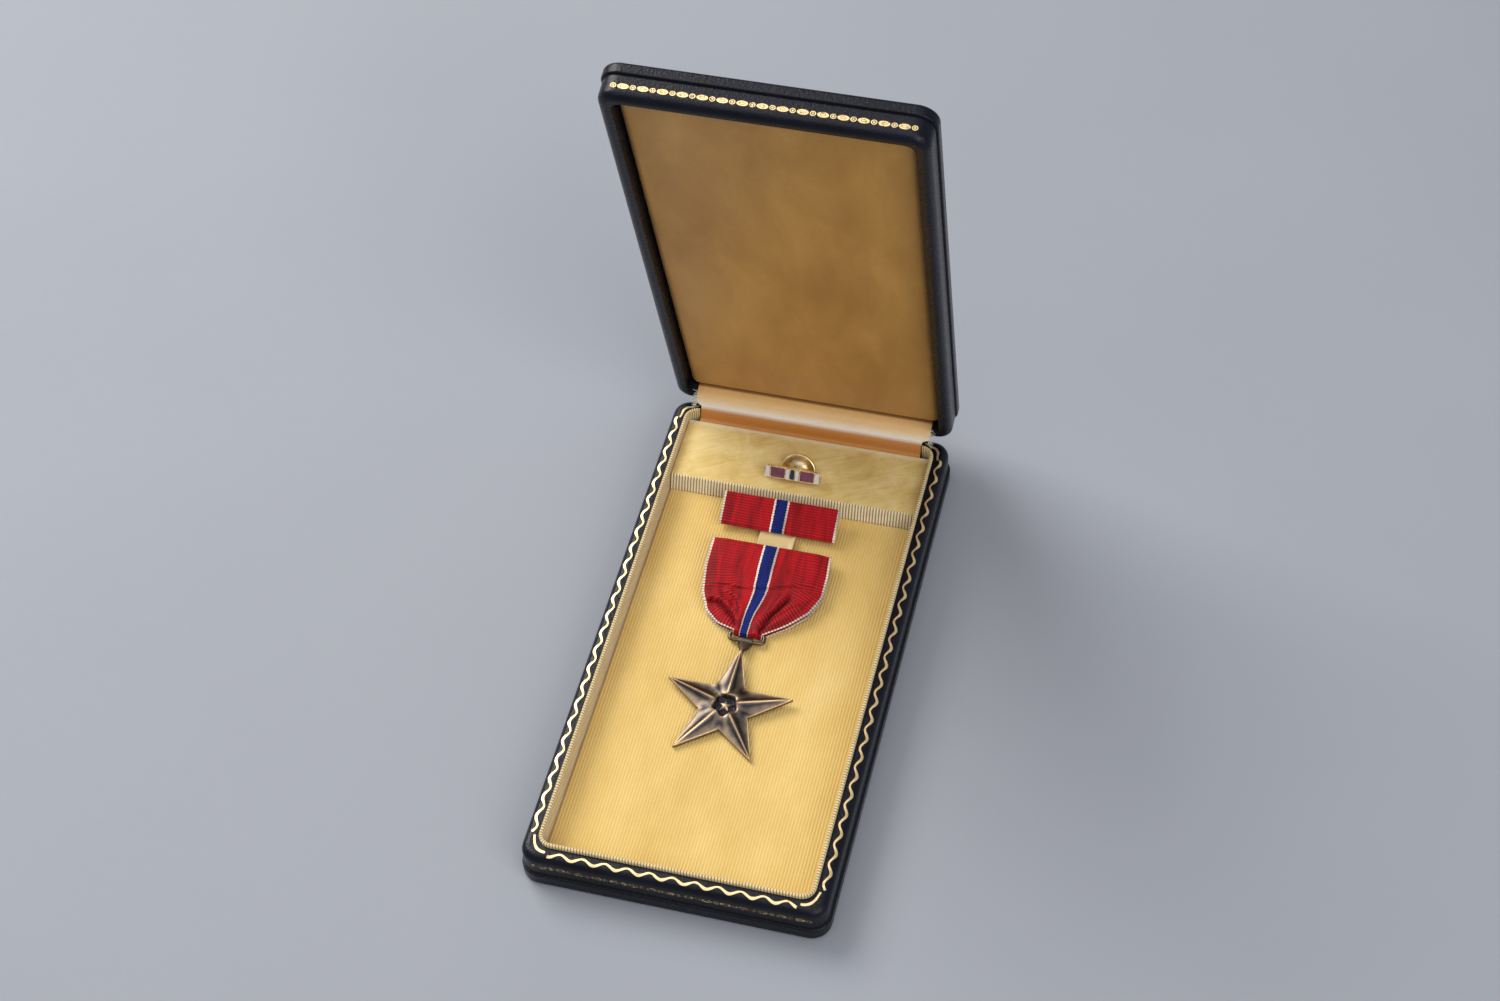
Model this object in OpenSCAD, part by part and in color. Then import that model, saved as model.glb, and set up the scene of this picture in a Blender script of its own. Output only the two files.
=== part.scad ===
// Presentation case with a star medal on a ribbon drape, a ribbon bar and a lapel pin.
// Millimetres. Origin: centre of the base's underside. +X right, +Y towards the hinge, +Z up.

/* [Case] */
// Width of the walls across X
case_w = 85.2; // [84:0.2:90]
// Length of the walls along Y
case_l = 164.4; // [163:0.2:170]
// Thickness of the covered bottom board
board_h = 4.7; // [4:0.1:5.5]
// Thickness of the covered lid board
lid_board_h = 3.5; // [3:0.1:4.5]
// How far each board stands out past the walls
board_over = 0.6; // [0.2:0.1:1]
// Height of the plane where the lid meets the base
parting_z = 12.7; // [12.5:0.1:13]
// Depth of the lid's walls
lid_wall_h = 7.0; // [6.8:0.1:8]
// Thickness of the leatherette
cover_t = 0.5; // [0.3:0.1:0.6]
// Width of the base rim on the sides and front
rim_w = 4.1; // [4:0.1:4.5]
// Angle that the open lid is turned back from closed
lid_open = 76.75; // [60:0.25:80]

/* [Tray] */
// Thickness of the cloth-covered collar
collar_t = 1.1; // [0.8:0.1:1.3]
// Height that the collar stands above the parting plane
collar_proud = 1.1; // [0.6:0.1:1.4]
// Top of the tray cloth
floor_z = 6.3; // [6:0.1:6.5]
// Top of the riser
riser_z = 10.8; // [10.4:0.1:11]
// Front edge of the riser's top
riser_y = 54; // [53:0.5:55]

/* [Medal] */
// Radius of the circle through the star's points
star_r = 19.05; // [18:0.05:19.5]
// Y of the star's centre
star_y = -21.2; // [-22:0.1:-21]
// Width of the medal ribbon
ribbon_w = 35; // [33:0.5:36]

/* [Ribbon bar] */
// Height of the ribbon bar
bar_h = 9.5; // [9:0.1:10]
// Angle that the ribbon bar leans back from flat
bar_tilt = 27.4; // [20:0.2:30]

/* [Lapel pin] */
// Width of the lapel bar
lapel_w = 17.2; // [15:0.2:18]
// Radius of the lapel pin's disc
disc_r = 5.4; // [5:0.1:5.5]
// Angle that the lapel pin leans back from flat
lapel_tilt = 55; // [50:1:60]

/* [Hidden] */
$fn = 48;
eps = 0.01;

leather = [0.07, 0.08, 0.12];
wood = [0.72, 0.6, 0.42];
card = [0.8, 0.76, 0.66];
cloth = [0.87, 0.72, 0.42];
satin = [0.8, 0.6, 0.35];
bronze = [0.42, 0.34, 0.28];
gilt = [0.85, 0.66, 0.36];
red = [0.7, 0.1, 0.14];
steel = [0.62, 0.62, 0.64];
white = [0.9, 0.88, 0.84];

// case
corner_r = 5;                             // corner radius of the walls
rim_round = 2.3;                          // rounding of the rims' outer edges
outer_round = 1.2;                        // rounding of the boards' outer edges
foot_round = 0.45;                        // small rounding where a wall meets its board
part_gap = 0.2;                           // gap left between the closed rims
base_rim_z = parting_z - part_gap / 2;
lid_rim_z = parting_z + part_gap / 2;
well_x = case_w / 2 - rim_w;              // inner faces of the base frame
well_front = -case_l / 2 + rim_w;
well_back = case_l / 2 - 3.7;
well_r = 4;
lid_side = 3.7;                           // rim widths of the lid
lid_front = 3.1;
lid_top = parting_z + lid_wall_h;         // inner face of the closed lid's board
lid_recess_r = 3;

collar_return = 4;                        // how far the collar goes round the back corners

// riser
riser_run = 2;                            // how far its front slopes out at the foot
riser_back = 76;
riser_cloth = 0.4;

// hinge
hinge_y = case_l / 2;
hinge_w = 60;
knuckles = 5;
knuckle_w = hinge_w / knuckles;
barrel_r = 1;
pin_r = 0.5;
pin_fit = 0.05;
leaf_t = 0.5;
gusset_w = 68.6;                          // width of the satin strip, and of the recess for it
gusset_t = 0.25;
leaf_drop = 0.8;                          // parting plane to the leaf's outer face
spring_y = 77.9;
spring_z = 9.4;
spring_w = 0.9;
spring_t = 0.35;
spring_l = 48;
bow_r = 260;
nail_x = [-26, -14, 14, 26];
nail_r = 0.4;
nail_l = 2.5;                             // length of nail in the wood
nail_y = 80.2;

// lid lining
pad_z = 16.0;                             // lowest face of the closed lid's pad
pad_gap = 0.2;
card_t = 0.8;

// medal
cx = -0.75;                               // centre line of the medal and the ribbon bar
star_ri = star_r * 0.392;                 // radius of the star's inner corners
star_edge = 1.3;
star_rise = 1.5;
star_back = floor_z + 1.2;                // back of the star at its centre
star_tilt = 3.8;                          // the loop holds the star's upper arm up
pivot_y = star_y + star_r + 4;            // lower bar of the loop, where the star swings
pivot_z = floor_z + 1.35;
loop_wire = 0.55;                         // radius of the loop's wire
loop_w = 10;
loop_up = 2.8;                            // lower bar to upper bar
sleeve_r = 1.1;
sleeve_w = 4;
neck_t = 1;                               // thickness of the neck between star and sleeve
fold_y = pivot_y + loop_up;               // upper bar of the loop, inside the ribbon's fold
fold_r = 1.2;
fold_w = 8.6;
drape_top = 33.9;
brooch_y = 31.6;
brooch_z = 9.5;                           // underside of the brooch plate
wire_r = 0.35;                            // pins of the brooch and the ribbon bar
wire_l = 26;
pin_drop = 0.8;                           // plate's back to the pin's axis
strap_x0 = cx - 5.6;
strap_x1 = cx + 5.6;
strap_bend_y = 46;
strap_end_y = 27;

// ribbon bar: its own frame has +Z out of the ribbon's face
bar_c = [-1.5, 45.2, 11.0];
bar_plate_t = 0.6;
bar_cloth_t = 0.5;
bar_back = -bar_cloth_t - bar_plate_t;

// lapel pin: its own frame has +Z out of the enamelled face
disc_c = [-0.1, 62.9, 11.1];
lapel_h = 3.7;
lapel_t = 1.1;
enamel_t = 0.35;
lapel_gap = 3.6;                          // disc's face to the bar's back
disc_t = 0.5;
post_r = 0.8;
slit_t = 1.5;
cell_edge = 0.3;

// ---- shared shapes ----

// Rectangle with rounded corners, centred on the origin
module round_rect(w, l, r) {
    square([w - 2 * r, l], center = true);
    square([w, l - 2 * r], center = true);
    for (x = [-1, 1], y = [-1, 1]) translate([x * (w / 2 - r), y * (l / 2 - r)]) circle(r);
}

// Section of a plate of width w with its lower corners rounded by e0 and its upper ones by e1
module edge_section(w, h, e0, e1) {
    translate([-w / 2, e0]) square([w, h - e0 - e1]);
    translate([-w / 2 + e0, 0]) square([w - 2 * e0, e0 + eps]);
    translate([-w / 2 + e1, h - e1 - eps]) square([w - 2 * e1, e1 + eps]);
    for (x = [-1, 1]) {
        translate([x * (w / 2 - e0), e0]) circle(e0);
        translate([x * (w / 2 - e1), h - e1]) circle(e1);
    }
}

// Plate with rounded plan corners and rounded edges, standing on z = 0
module soft_plate(w, l, r, h, e0, e1) {
    translate([0, l / 2 - r, 0]) rotate([90, 0, 0])
        linear_extrude(l - 2 * r) edge_section(w, h, e0, e1);
    translate([-w / 2 + r, 0, 0]) rotate([90, 0, 90])
        linear_extrude(w - 2 * r) edge_section(l, h, e0, e1);
    for (x = [-1, 1], y = [-1, 1])
        translate([x * (w / 2 - r), y * (l / 2 - r), 0])
            rotate([0, 0, x > 0 ? (y > 0 ? 0 : 270) : (y > 0 ? 90 : 180)])
                rotate_extrude(angle = 90) intersection() {
                    edge_section(2 * r, h, e0, e1);
                    square([r + 1, h + 1]);
                }
}

// Upright prism from a rounded rectangle between two heights
module post_rect(w, l, r, z0, z1) {
    translate([0, 0, z0]) linear_extrude(z1 - z0) round_rect(w, l, r);
}

// Space inside the base frame, inset by t, between two heights
module well(t, z0, z1) {
    translate([0, (well_front + well_back) / 2, 0])
        post_rect(2 * (well_x - t), well_back - well_front - 2 * t, well_r - t, z0, z1);
}

// Recess of the closed lid between two heights, inset by t
module lid_recess(t, z0, z1) {
    y0 = -case_l / 2 + lid_front + t;
    y1 = case_l / 2 - lid_front - t;
    translate([0, (y0 + y1) / 2, 0])
        post_rect(case_w - 2 * lid_side - 2 * t, y1 - y0, lid_recess_r, z0, z1);
}

// Turns a closed lid part to the open rest position
module opened() {
    translate([0, hinge_y, parting_z]) rotate([-lid_open, 0, 0])
        translate([0, -hinge_y, -parting_z]) children();
}

// Lower face of a hinge leaf, for side = -1 (base) or 1 (lid)
function leaf_z(side) = side < 0 ? parting_z - leaf_drop : parting_z + leaf_drop - leaf_t;

// Edge of a hinge leaf that faces the tray or the lid's recess
function leaf_y(side) = side < 0 ? well_back : case_l / 2 - lid_front;

// Clear space round the hinge barrel, its leaves and the satin strip
module hinge_space(side) {
    translate([-hinge_w / 2 - 0.2, hinge_y, parting_z]) rotate([0, 90, 0])
        cylinder(r = barrel_r + 0.2, h = hinge_w + 0.4);
    translate([-gusset_w / 2, well_back - 1, side < 0 ? leaf_z(side) : lid_rim_z - 1])
        cube([gusset_w, 6, side < 0 ? 2 : leaf_z(side) + leaf_t - lid_rim_z + 1]);
}

// Ears on the back of a plate that carry a pin: the pin's axis runs along Y through x = 0
module pin_lug() {
    difference() {
        translate([-1.1, -1.05, -pin_drop - 0.7]) cube([2.2, 2.1, pin_drop + 0.7]);
        translate([0, 3, -pin_drop]) rotate([90, 0, 0]) cylinder(r = wire_r + pin_fit, h = 6);
        translate([-1.2, -0.475, -pin_drop - 0.8]) cube([3.6, 0.95, 1.4]);
    }
}

// Hook on the back of a plate that holds the pin's point
module pin_catch() {
    translate([wire_l - 2, -1.2, -pin_drop - 0.8]) difference() {
        cube([1.4, 2.4, pin_drop + 0.8]);
        translate([-0.5, 0.65, -0.1]) cube([3, 1.2, 1.35]);
    }
}

// Straight pin along X with a short cross axle at its hinge
module swing_pin() {
    translate([0, 0, -pin_drop]) {
        translate([0, 1.05, 0]) rotate([90, 0, 0]) cylinder(r = wire_r, h = 2.1);
        rotate([0, 90, 0]) cylinder(r = wire_r, h = wire_l);
    }
}

// Hinge leaf with its knuckles; first is the index of its first knuckle
module hinge_leaf(side, first) {
    difference() {
        union() {
            translate([-hinge_w / 2, leaf_y(side), leaf_z(side)])
                cube([hinge_w, hinge_y - leaf_y(side), leaf_t]);
            for (i = [first:2:knuckles - 1])
                translate([-hinge_w / 2 + i * knuckle_w + 0.1, hinge_y, parting_z])
                    rotate([0, 90, 0]) cylinder(r = barrel_r, h = knuckle_w - 0.2);
        }
        for (i = [1 - first:2:knuckles - 1])
            translate([-hinge_w / 2 + i * knuckle_w - 0.1, hinge_y, parting_z])
                rotate([0, 90, 0]) cylinder(r = barrel_r + 0.15, h = knuckle_w + 0.2);
        translate([-hinge_w / 2 - 1, hinge_y, parting_z]) rotate([0, 90, 0])
            cylinder(r = pin_r + pin_fit, h = hinge_w + 2);
        for (x = nail_x) translate([x, nail_y, leaf_z(side) - 1]) cylinder(r = nail_r, h = leaf_t + 2);
    }
}

// Bottom or lid board without its leatherette, between two heights
module bare_board(z0, z1) {
    over = board_over - cover_t;
    post_rect(case_w + 2 * over, case_l + 2 * over, corner_r + over, z0, z1);
}

// Outline of a covered board, standing on z = 0
module covered_board(h, e0, e1) {
    soft_plate(case_w + 2 * board_over, case_l + 2 * board_over, corner_r + board_over, h, e0, e1);
}

// Inside of a frame's cover, between two heights
module bare_frame(z0, z1) {
    post_rect(case_w - 2 * cover_t, case_l - 2 * cover_t, corner_r - cover_t, z0, z1);
}

// Leaves a cover at least cover_t thick where a rim is rounded, between two heights
module rim_space(z0, z1) {
    in = rim_round - 0.3;
    difference() {
        post_rect(case_w + 2, case_l + 2, corner_r, z0, z1);
        post_rect(case_w - 2 * in, case_l - 2 * in, corner_r - in, z0 - 1, z1 + 1);
    }
}

module base_rim_space() {
    rim_space(base_rim_z - rim_round, base_rim_z);
}

module lid_rim_space() {
    rim_space(lid_rim_z, lid_rim_z + rim_round);
}

// ---- case, base side ----

module base_board() {
    color(wood) bare_board(cover_t, board_h);
}

module base_board_cover() {
    color(leather) difference() {
        covered_board(board_h, outer_round, foot_round);
        bare_board(cover_t, board_h + 1);
    }
}

module base_frame() {
    color(wood) difference() {
        bare_frame(board_h, base_rim_z - cover_t);
        base_rim_space();
        well(0, board_h - 1, base_rim_z + 1);
        hinge_space(-1);
        nails(-1);
    }
}

module base_frame_cover() {
    color(leather) difference() {
        translate([0, 0, board_h])
            soft_plate(case_w, case_l, corner_r, base_rim_z - board_h, foot_round, rim_round);
        difference() {
            bare_frame(board_h - 1, base_rim_z - cover_t);
            base_rim_space();
        }
        well(0, board_h - 1, base_rim_z + 1);
        hinge_space(-1);
        nails(-1);
    }
}

module tray_collar() {
    color(cloth) difference() {
        well(0, board_h, parting_z + collar_proud);
        well(collar_t, board_h - 1, parting_z + collar_proud + 1);
        translate([-well_x + collar_return, well_back - 10, board_h - 1])
            cube([2 * (well_x - collar_return), 20, 12]);
    }
}

module tray_floor_card() {
    color(card) well(collar_t, board_h, floor_z - 0.4);
}

module tray_floor_cloth() {
    color(cloth) well(collar_t, floor_z - 0.4, floor_z);
}

// Y of the riser's sloping front at height z
function band_y(z) = riser_y - riser_run * (riser_z - z) / (riser_z - floor_z);

// Section of the riser, inset by t on its front and top
module riser_section(t) {
    polygon([[riser_y - riser_run + t, floor_z], [riser_back, floor_z],
        [riser_back, riser_z - t], [riser_y + t, riser_z - t]]);
}

module riser_solid(t) {
    intersection() {
        translate([-well_x, 0, 0]) rotate([90, 0, 90]) linear_extrude(2 * well_x) riser_section(t);
        well(collar_t + 0.1, floor_z - 1, riser_z + 1);
    }
}

// Slit that takes the lapel pin's disc
module riser_slit() {
    lapel_frame() translate([-disc_r - 0.4, -disc_r - 0.3, -disc_t / 2 - slit_t / 2])
        cube([2 * disc_r + 0.8, 2 * disc_r + 6, slit_t]);
}

module riser_block() {
    color(card) difference() {
        riser_solid(riser_cloth);
        riser_slit();
    }
}

// Cloth skin of the riser: front = true gives the strip on its front, false the rest
module riser_skin(front) {
    difference() {
        riser_solid(0);
        riser_solid(riser_cloth);
        translate([-well_x, riser_y + riser_cloth + (front ? 0 : -20), floor_z - 1])
            cube([2 * well_x, front ? 40 : 20, 10]);
    }
}

module riser_cover() {
    color(cloth) difference() {
        riser_skin(false);
        riser_slit();
    }
}

module riser_front_band() {
    color(cloth) riser_skin(true);
}

// Strap from the riser's front down to the floor side of the medal, as one bent strip
module tray_strap() {
    color(satin) translate([strap_x0, 0, 0]) rotate([90, 0, 90]) linear_extrude(strap_x1 - strap_x0)
        polygon([[band_y(8), 8], [band_y(7.5), 7.5], [strap_bend_y, 7.2], [strap_end_y, 6.9],
            [strap_end_y, 7.4], [strap_bend_y, 7.7]]);
}

module hinge_base_leaf() {
    color(gilt) hinge_leaf(-1, 0);
}

module hinge_pin() {
    color(steel) translate([-hinge_w / 2, hinge_y, parting_z]) rotate([0, 90, 0])
        cylinder(r = pin_r, h = hinge_w);
}

// Bowed strip in front of the base leaf
module hinge_spring() {
    color(steel) translate([0, spring_y, spring_z - bow_r]) rotate([90, 0, 0])
        linear_extrude(spring_w) intersection() {
            difference() {
                circle(bow_r + spring_t);
                circle(bow_r);
            }
            translate([-spring_l / 2, bow_r - 5]) square([spring_l, 10]);
        }
}

module nails(side) {
    for (x = nail_x) translate([x, nail_y, leaf_z(side) - (side < 0 ? nail_l : 0)])
        cylinder(r = nail_r, h = leaf_t + nail_l);
}

module hinge_nails_base() {
    color(steel) nails(-1);
}

module hinge_nails_lid() {
    color(steel) opened() nails(1);
}

// Plain stand-in for the satin strip in front of the hinge
module hinge_gusset() {
    y0 = riser_back;
    z1 = leaf_z(-1) + leaf_t + 0.05;
    color(satin) translate([-gusset_w / 2 + 0.2, 0, 0]) rotate([90, 0, 90]) linear_extrude(gusset_w - 0.4)
        polygon([[y0, riser_z - 1], [well_back, z1], [hinge_y - 1.6, z1], [hinge_y - 1.6, z1 + gusset_t],
            [well_back - 0.2, z1 + gusset_t], [y0, riser_z - 0.6]]);
}

// ---- case, lid side, drawn closed and turned open ----

module lid_board() {
    color(wood) opened() bare_board(lid_top, lid_top + lid_board_h - cover_t);
}

module lid_board_cover() {
    color(leather) opened() difference() {
        translate([0, 0, lid_top]) covered_board(lid_board_h, foot_round, outer_round);
        bare_board(lid_top - 1, lid_top + lid_board_h - cover_t);
    }
}

module lid_frame() {
    color(wood) opened() difference() {
        bare_frame(lid_rim_z + cover_t, lid_top);
        lid_rim_space();
        lid_recess(-cover_t, lid_rim_z, lid_top + 1);
        hinge_space(1);
        nails(1);
    }
}

module lid_frame_cover() {
    color(leather) opened() difference() {
        translate([0, 0, lid_rim_z])
            soft_plate(case_w, case_l, corner_r, lid_top - lid_rim_z, rim_round, foot_round);
        difference() {
            bare_frame(lid_rim_z + cover_t, lid_top + 1);
            lid_rim_space();
            difference() {
                lid_recess(-cover_t, lid_rim_z, lid_top + 2);
                lid_recess(0, lid_rim_z - 1, lid_top + 3);
            }
        }
        lid_recess(0, lid_rim_z - 1, lid_top + 1);
        hinge_space(1);
        nails(1);
    }
}

module lid_pad_card() {
    color(card) opened() lid_recess(pad_gap, lid_top - card_t, lid_top);
}

module lid_pad() {
    color(satin) opened() lid_recess(pad_gap, pad_z, lid_top - card_t);
}

module hinge_lid_leaf() {
    color(gilt) opened() hinge_leaf(1, 1);
}

// ---- medal ----

// Outline of the hanging ribbon, seen from above
module drape_outline() {
    h = fold_w / 2;
    polygon([[-18, drape_top], [-17.9, 24.3], [-16.2, 14.8], [-13.6, 9.3], [-9.8, 6.2], [-h - 1, fold_y + 0.8],
        [-h, fold_y + 0.8], [-h, fold_y - 2], [h, fold_y - 2], [h, fold_y + 0.8], [h + 1, fold_y + 0.8],
        [10.7, 9.2], [15.4, 14], [18, 19.6], [18.1, 27], [17.65, drape_top]]);
}

// Section of the ribbon: a fold round the loop's upper bar, then a slab that rises over the brooch
module drape_section() {
    translate([fold_y, pivot_z]) circle(fold_r);
    polygon([[fold_y, pivot_z - fold_r], [fold_y, pivot_z + fold_r], [16, 9.8], [28, 10.8],
        [drape_top, 11.1], [drape_top, 10.35], [28, 10.35], [27, 9.2], [16, 8.3]]);
}

module ribbon_drape() {
    color(red) difference() {
        intersection() {
            translate([cx, 0, 0]) linear_extrude(30) drape_outline();
            translate([-40, 0, 0]) rotate([90, 0, 90]) linear_extrude(80) drape_section();
        }
        translate([cx - 6, fold_y, pivot_z]) rotate([0, 90, 0]) cylinder(r = loop_wire + 0.06, h = 12);
    }
}

module brooch_plate() {
    color(gilt) translate([cx - 16, brooch_y - 2.6, brooch_z]) cube([32, 4.6, 0.8]);
}

module brooch_frame() {
    translate([cx - wire_l / 2, brooch_y - 0.3, brooch_z]) children();
}

module brooch_hinge_lug() {
    color(gilt) brooch_frame() pin_lug();
}

module brooch_catch() {
    color(gilt) brooch_frame() pin_catch();
}

module brooch_pin() {
    color(steel) brooch_frame() swing_pin();
}

// Round-cornered wire loop
module ribbon_loop() {
    color(bronze) translate([cx, pivot_y, pivot_z]) {
        for (y = [0, loop_up]) translate([-loop_w / 2 + 1, y, 0]) rotate([0, 90, 0])
            cylinder(r = loop_wire, h = loop_w - 2);
        for (x = [-1, 1]) {
            translate([x * loop_w / 2, 1, 0]) rotate([-90, 0, 0]) cylinder(r = loop_wire, h = loop_up - 2);
            for (y = [0, 1]) translate([x * (loop_w / 2 - 1), 1 + y * (loop_up - 2), 0])
                rotate([0, 0, x > 0 ? (y > 0 ? 0 : 270) : (y > 0 ? 90 : 180)])
                    rotate_extrude(angle = 90) translate([1, 0]) circle(loop_wire);
        }
    }
}

module star_sleeve() {
    color(bronze) translate([cx - sleeve_w / 2, pivot_y, pivot_z]) rotate([0, 90, 0]) difference() {
        cylinder(r = sleeve_r, h = sleeve_w);
        translate([0, 0, -1]) cylinder(r = loop_wire + 0.08, h = sleeve_w + 2);
    }
}

// Corner i of the star's outline, points and inner corners in turn, first point towards the hinge
function star_corner(i, s) =
    let (r = (i % 2 == 0 ? star_r : star_ri) * s, a = 90 + 36 * i) [r * cos(a), r * sin(a)];

// Five ridges that rise from the edge to the middle, with a shallow dish in the middle
module star_relief() {
    rim = [for (i = [0:9]) [star_corner(i, 1)[0], star_corner(i, 1)[1], 0]];
    top = [for (i = [0:9]) let (s = i % 2 == 0 ? 0.2 : 0.35, p = star_corner(i, s))
        [p[0], p[1], i % 2 == 0 ? star_rise : star_rise * 0.55]];
    polyhedron(points = concat(rim, top, [[0, 0, 0.5], [0, 0, 0]]),
        faces = concat(
            [for (i = [0:9]) [i, 10 + i, (i + 1) % 10]],
            [for (i = [0:9]) [(i + 1) % 10, 10 + i, 10 + (i + 1) % 10]],
            [for (i = [0:9]) [10 + i, 20, 10 + (i + 1) % 10]],
            [for (i = [0:9]) [(i + 1) % 10, 21, i]]));
}

module star() {
    neck_y = star_y + star_r - 4;
    neck_z = star_back + (neck_y - star_y) * tan(star_tilt);
    neck_end = pivot_y - sleeve_r * 0.7;
    color(bronze) {
        translate([cx, star_y, star_back]) rotate([star_tilt, 0, 0]) {
            linear_extrude(star_edge) polygon([for (i = [0:9]) star_corner(i, 1)]);
            translate([0, 0, star_edge]) star_relief();
        }
        difference() {
            intersection() {
                translate([cx, 0, floor_z]) linear_extrude(10)
                    polygon([[-0.8, neck_y], [-1.7, neck_end], [1.7, neck_end], [0.8, neck_y]]);
                translate([cx - 5, 0, 0]) rotate([90, 0, 90]) linear_extrude(10)
                    polygon([[neck_y, neck_z], [neck_end, pivot_z - neck_t / 2],
                        [neck_end, pivot_z + neck_t / 2], [neck_y, neck_z + neck_t]]);
            }
            translate([cx - 5, pivot_y, pivot_z]) rotate([0, 90, 0]) cylinder(r = sleeve_r, h = 10);
        }
    }
}

// ---- ribbon bar ----

module bar_frame() {
    translate(bar_c) rotate([bar_tilt, 0, 0]) children();
}

// Space for the metal plate inside the folded ribbon
module bar_plate_space(extra) {
    translate([-ribbon_w / 2 + 0.3, -bar_h / 2 + 0.4, bar_back - extra])
        cube([ribbon_w - 0.6, bar_h - 0.8, bar_plate_t + extra]);
}

module bar_backing() {
    color(gilt) bar_frame() bar_plate_space(0);
}

module bar_ribbon() {
    color(red) bar_frame() difference() {
        translate([-ribbon_w / 2, -bar_h / 2, bar_back]) cube([ribbon_w, bar_h, -bar_back]);
        bar_plate_space(1);
    }
}

module bar_fitting_frame() {
    bar_frame() translate([-wire_l / 2, 0, bar_back]) children();
}

module bar_hinge_lug() {
    color(gilt) bar_fitting_frame() pin_lug();
}

module bar_catch() {
    color(gilt) bar_fitting_frame() pin_catch();
}

module bar_pin() {
    color(steel) bar_fitting_frame() swing_pin();
}

// ---- lapel pin ----

module lapel_frame() {
    translate(disc_c) rotate([lapel_tilt, 0, 0]) children();
}

// Places a child on the bar's front face, centred
module lapel_face() {
    lapel_frame() translate([-0.8, 0, lapel_gap + lapel_t]) children();
}

// Enamel cells: [centre x, width]
white_cells = [[-7.55, 1.4], [7.55, 1.4], [-1.45, 1.1], [1.45, 1.1]];
red_cells = [[-4.45, 4.2], [4.45, 4.2]];
blue_cells = [[0, 1.3]];

module cells(list) {
    for (c = list) lapel_face() translate([c[0] - c[1] / 2, -lapel_h / 2 + cell_edge, -enamel_t])
        cube([c[1], lapel_h - 2 * cell_edge, enamel_t]);
}

module lapel_bar() {
    color(gilt) difference() {
        lapel_face() translate([0, 0, -lapel_t]) linear_extrude(lapel_t) round_rect(lapel_w, lapel_h, 0.8);
        cells(white_cells);
        cells(red_cells);
        cells(blue_cells);
    }
}

module lapel_enamel_white() {
    color(white) cells(white_cells);
}

module lapel_enamel_red() {
    color([0.36, 0.14, 0.2]) cells(red_cells);
}

module lapel_enamel_blue() {
    color([0.08, 0.09, 0.2]) cells(blue_cells);
}

module lapel_post() {
    color(gilt) lapel_frame() cylinder(r = post_r, h = lapel_gap);
}

// Dished disc: a flat ring round a shallow hollow
module lapel_disc() {
    color(gilt) lapel_frame() rotate_extrude()
        polygon([[0, -disc_t], [disc_r, -disc_t], [disc_r, 0.15], [disc_r - 0.5, 0.15],
            [disc_r - 1.4, -0.15], [2, 0], [0, 0]]);
}

base_board();
base_board_cover();
base_frame();
base_frame_cover();
tray_collar();
tray_floor_card();
tray_floor_cloth();
riser_block();
riser_cover();
riser_front_band();
tray_strap();
hinge_base_leaf();
hinge_lid_leaf();
hinge_pin();
hinge_spring();
hinge_nails_base();
hinge_nails_lid();
hinge_gusset();
lid_board();
lid_board_cover();
lid_frame();
lid_frame_cover();
lid_pad_card();
lid_pad();
ribbon_drape();
brooch_plate();
brooch_hinge_lug();
brooch_catch();
brooch_pin();
ribbon_loop();
star_sleeve();
star();
bar_backing();
bar_ribbon();
bar_hinge_lug();
bar_catch();
bar_pin();
lapel_bar();
lapel_enamel_white();
lapel_enamel_red();
lapel_enamel_blue();
lapel_post();
lapel_disc();
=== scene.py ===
"""A star medal, its ribbon bar and its lapel pin in an open presentation case.

Shapes are worked out in millimetres in the part's own frame (+X right, +Y towards the hinge, +Z up)
and turned into metres when a mesh is made.
"""
import math

import bpy
import numpy as np
from mathutils import Matrix, Vector, noise


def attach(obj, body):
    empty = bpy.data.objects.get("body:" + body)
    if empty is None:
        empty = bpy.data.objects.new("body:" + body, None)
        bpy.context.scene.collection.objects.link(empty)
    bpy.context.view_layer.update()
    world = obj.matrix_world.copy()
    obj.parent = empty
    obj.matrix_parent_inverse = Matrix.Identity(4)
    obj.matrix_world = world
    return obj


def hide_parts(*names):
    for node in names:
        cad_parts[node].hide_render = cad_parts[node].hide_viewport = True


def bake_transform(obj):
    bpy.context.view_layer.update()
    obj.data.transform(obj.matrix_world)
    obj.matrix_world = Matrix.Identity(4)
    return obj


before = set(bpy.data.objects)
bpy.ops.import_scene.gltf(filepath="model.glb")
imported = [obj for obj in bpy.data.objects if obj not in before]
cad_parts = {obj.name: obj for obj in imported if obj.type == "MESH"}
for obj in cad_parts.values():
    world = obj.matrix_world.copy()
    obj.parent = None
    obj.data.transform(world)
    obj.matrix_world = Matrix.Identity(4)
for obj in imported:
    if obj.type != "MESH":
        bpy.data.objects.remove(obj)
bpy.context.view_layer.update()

MM = 0.001
WELD = 0.004 * MM  # points closer than this are one point

# The case, as the part has it
CASE_W, CASE_L = 85.2, 164.4
BASE_RIM_Z, RIM_ROUND = 12.6, 2.3
WELL_X, WELL_FRONT, WELL_BACK, WELL_R = 38.5, -78.1, 78.5, 4.0
WELL_Y = (WELL_FRONT + WELL_BACK) / 2
COLLAR_T, COLLAR_TOP = 1.1, 13.8
FLOOR_Z = 6.3
RISER_Y, RISER_Z, RISER_BACK, RISER_RUN = 54.0, 10.8, 76.0, 2.0
HINGE = Vector((0, 82.2, 12.7))
LID_OPEN = math.radians(76.75)
LID_TOP, PAD_Z = 19.7, 16.0
PAD_BACK = LID_TOP - 1.0
PAD_HALF_W, PAD_HALF_L, PAD_R = 38.7, 78.9, 2.8
FRONT_WALL_Y = -CASE_L / 2
FLAT_X, TURN_FRONT, TURN_BACK = WELL_X - WELL_R, WELL_FRONT + WELL_R, WELL_BACK - WELL_R
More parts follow.
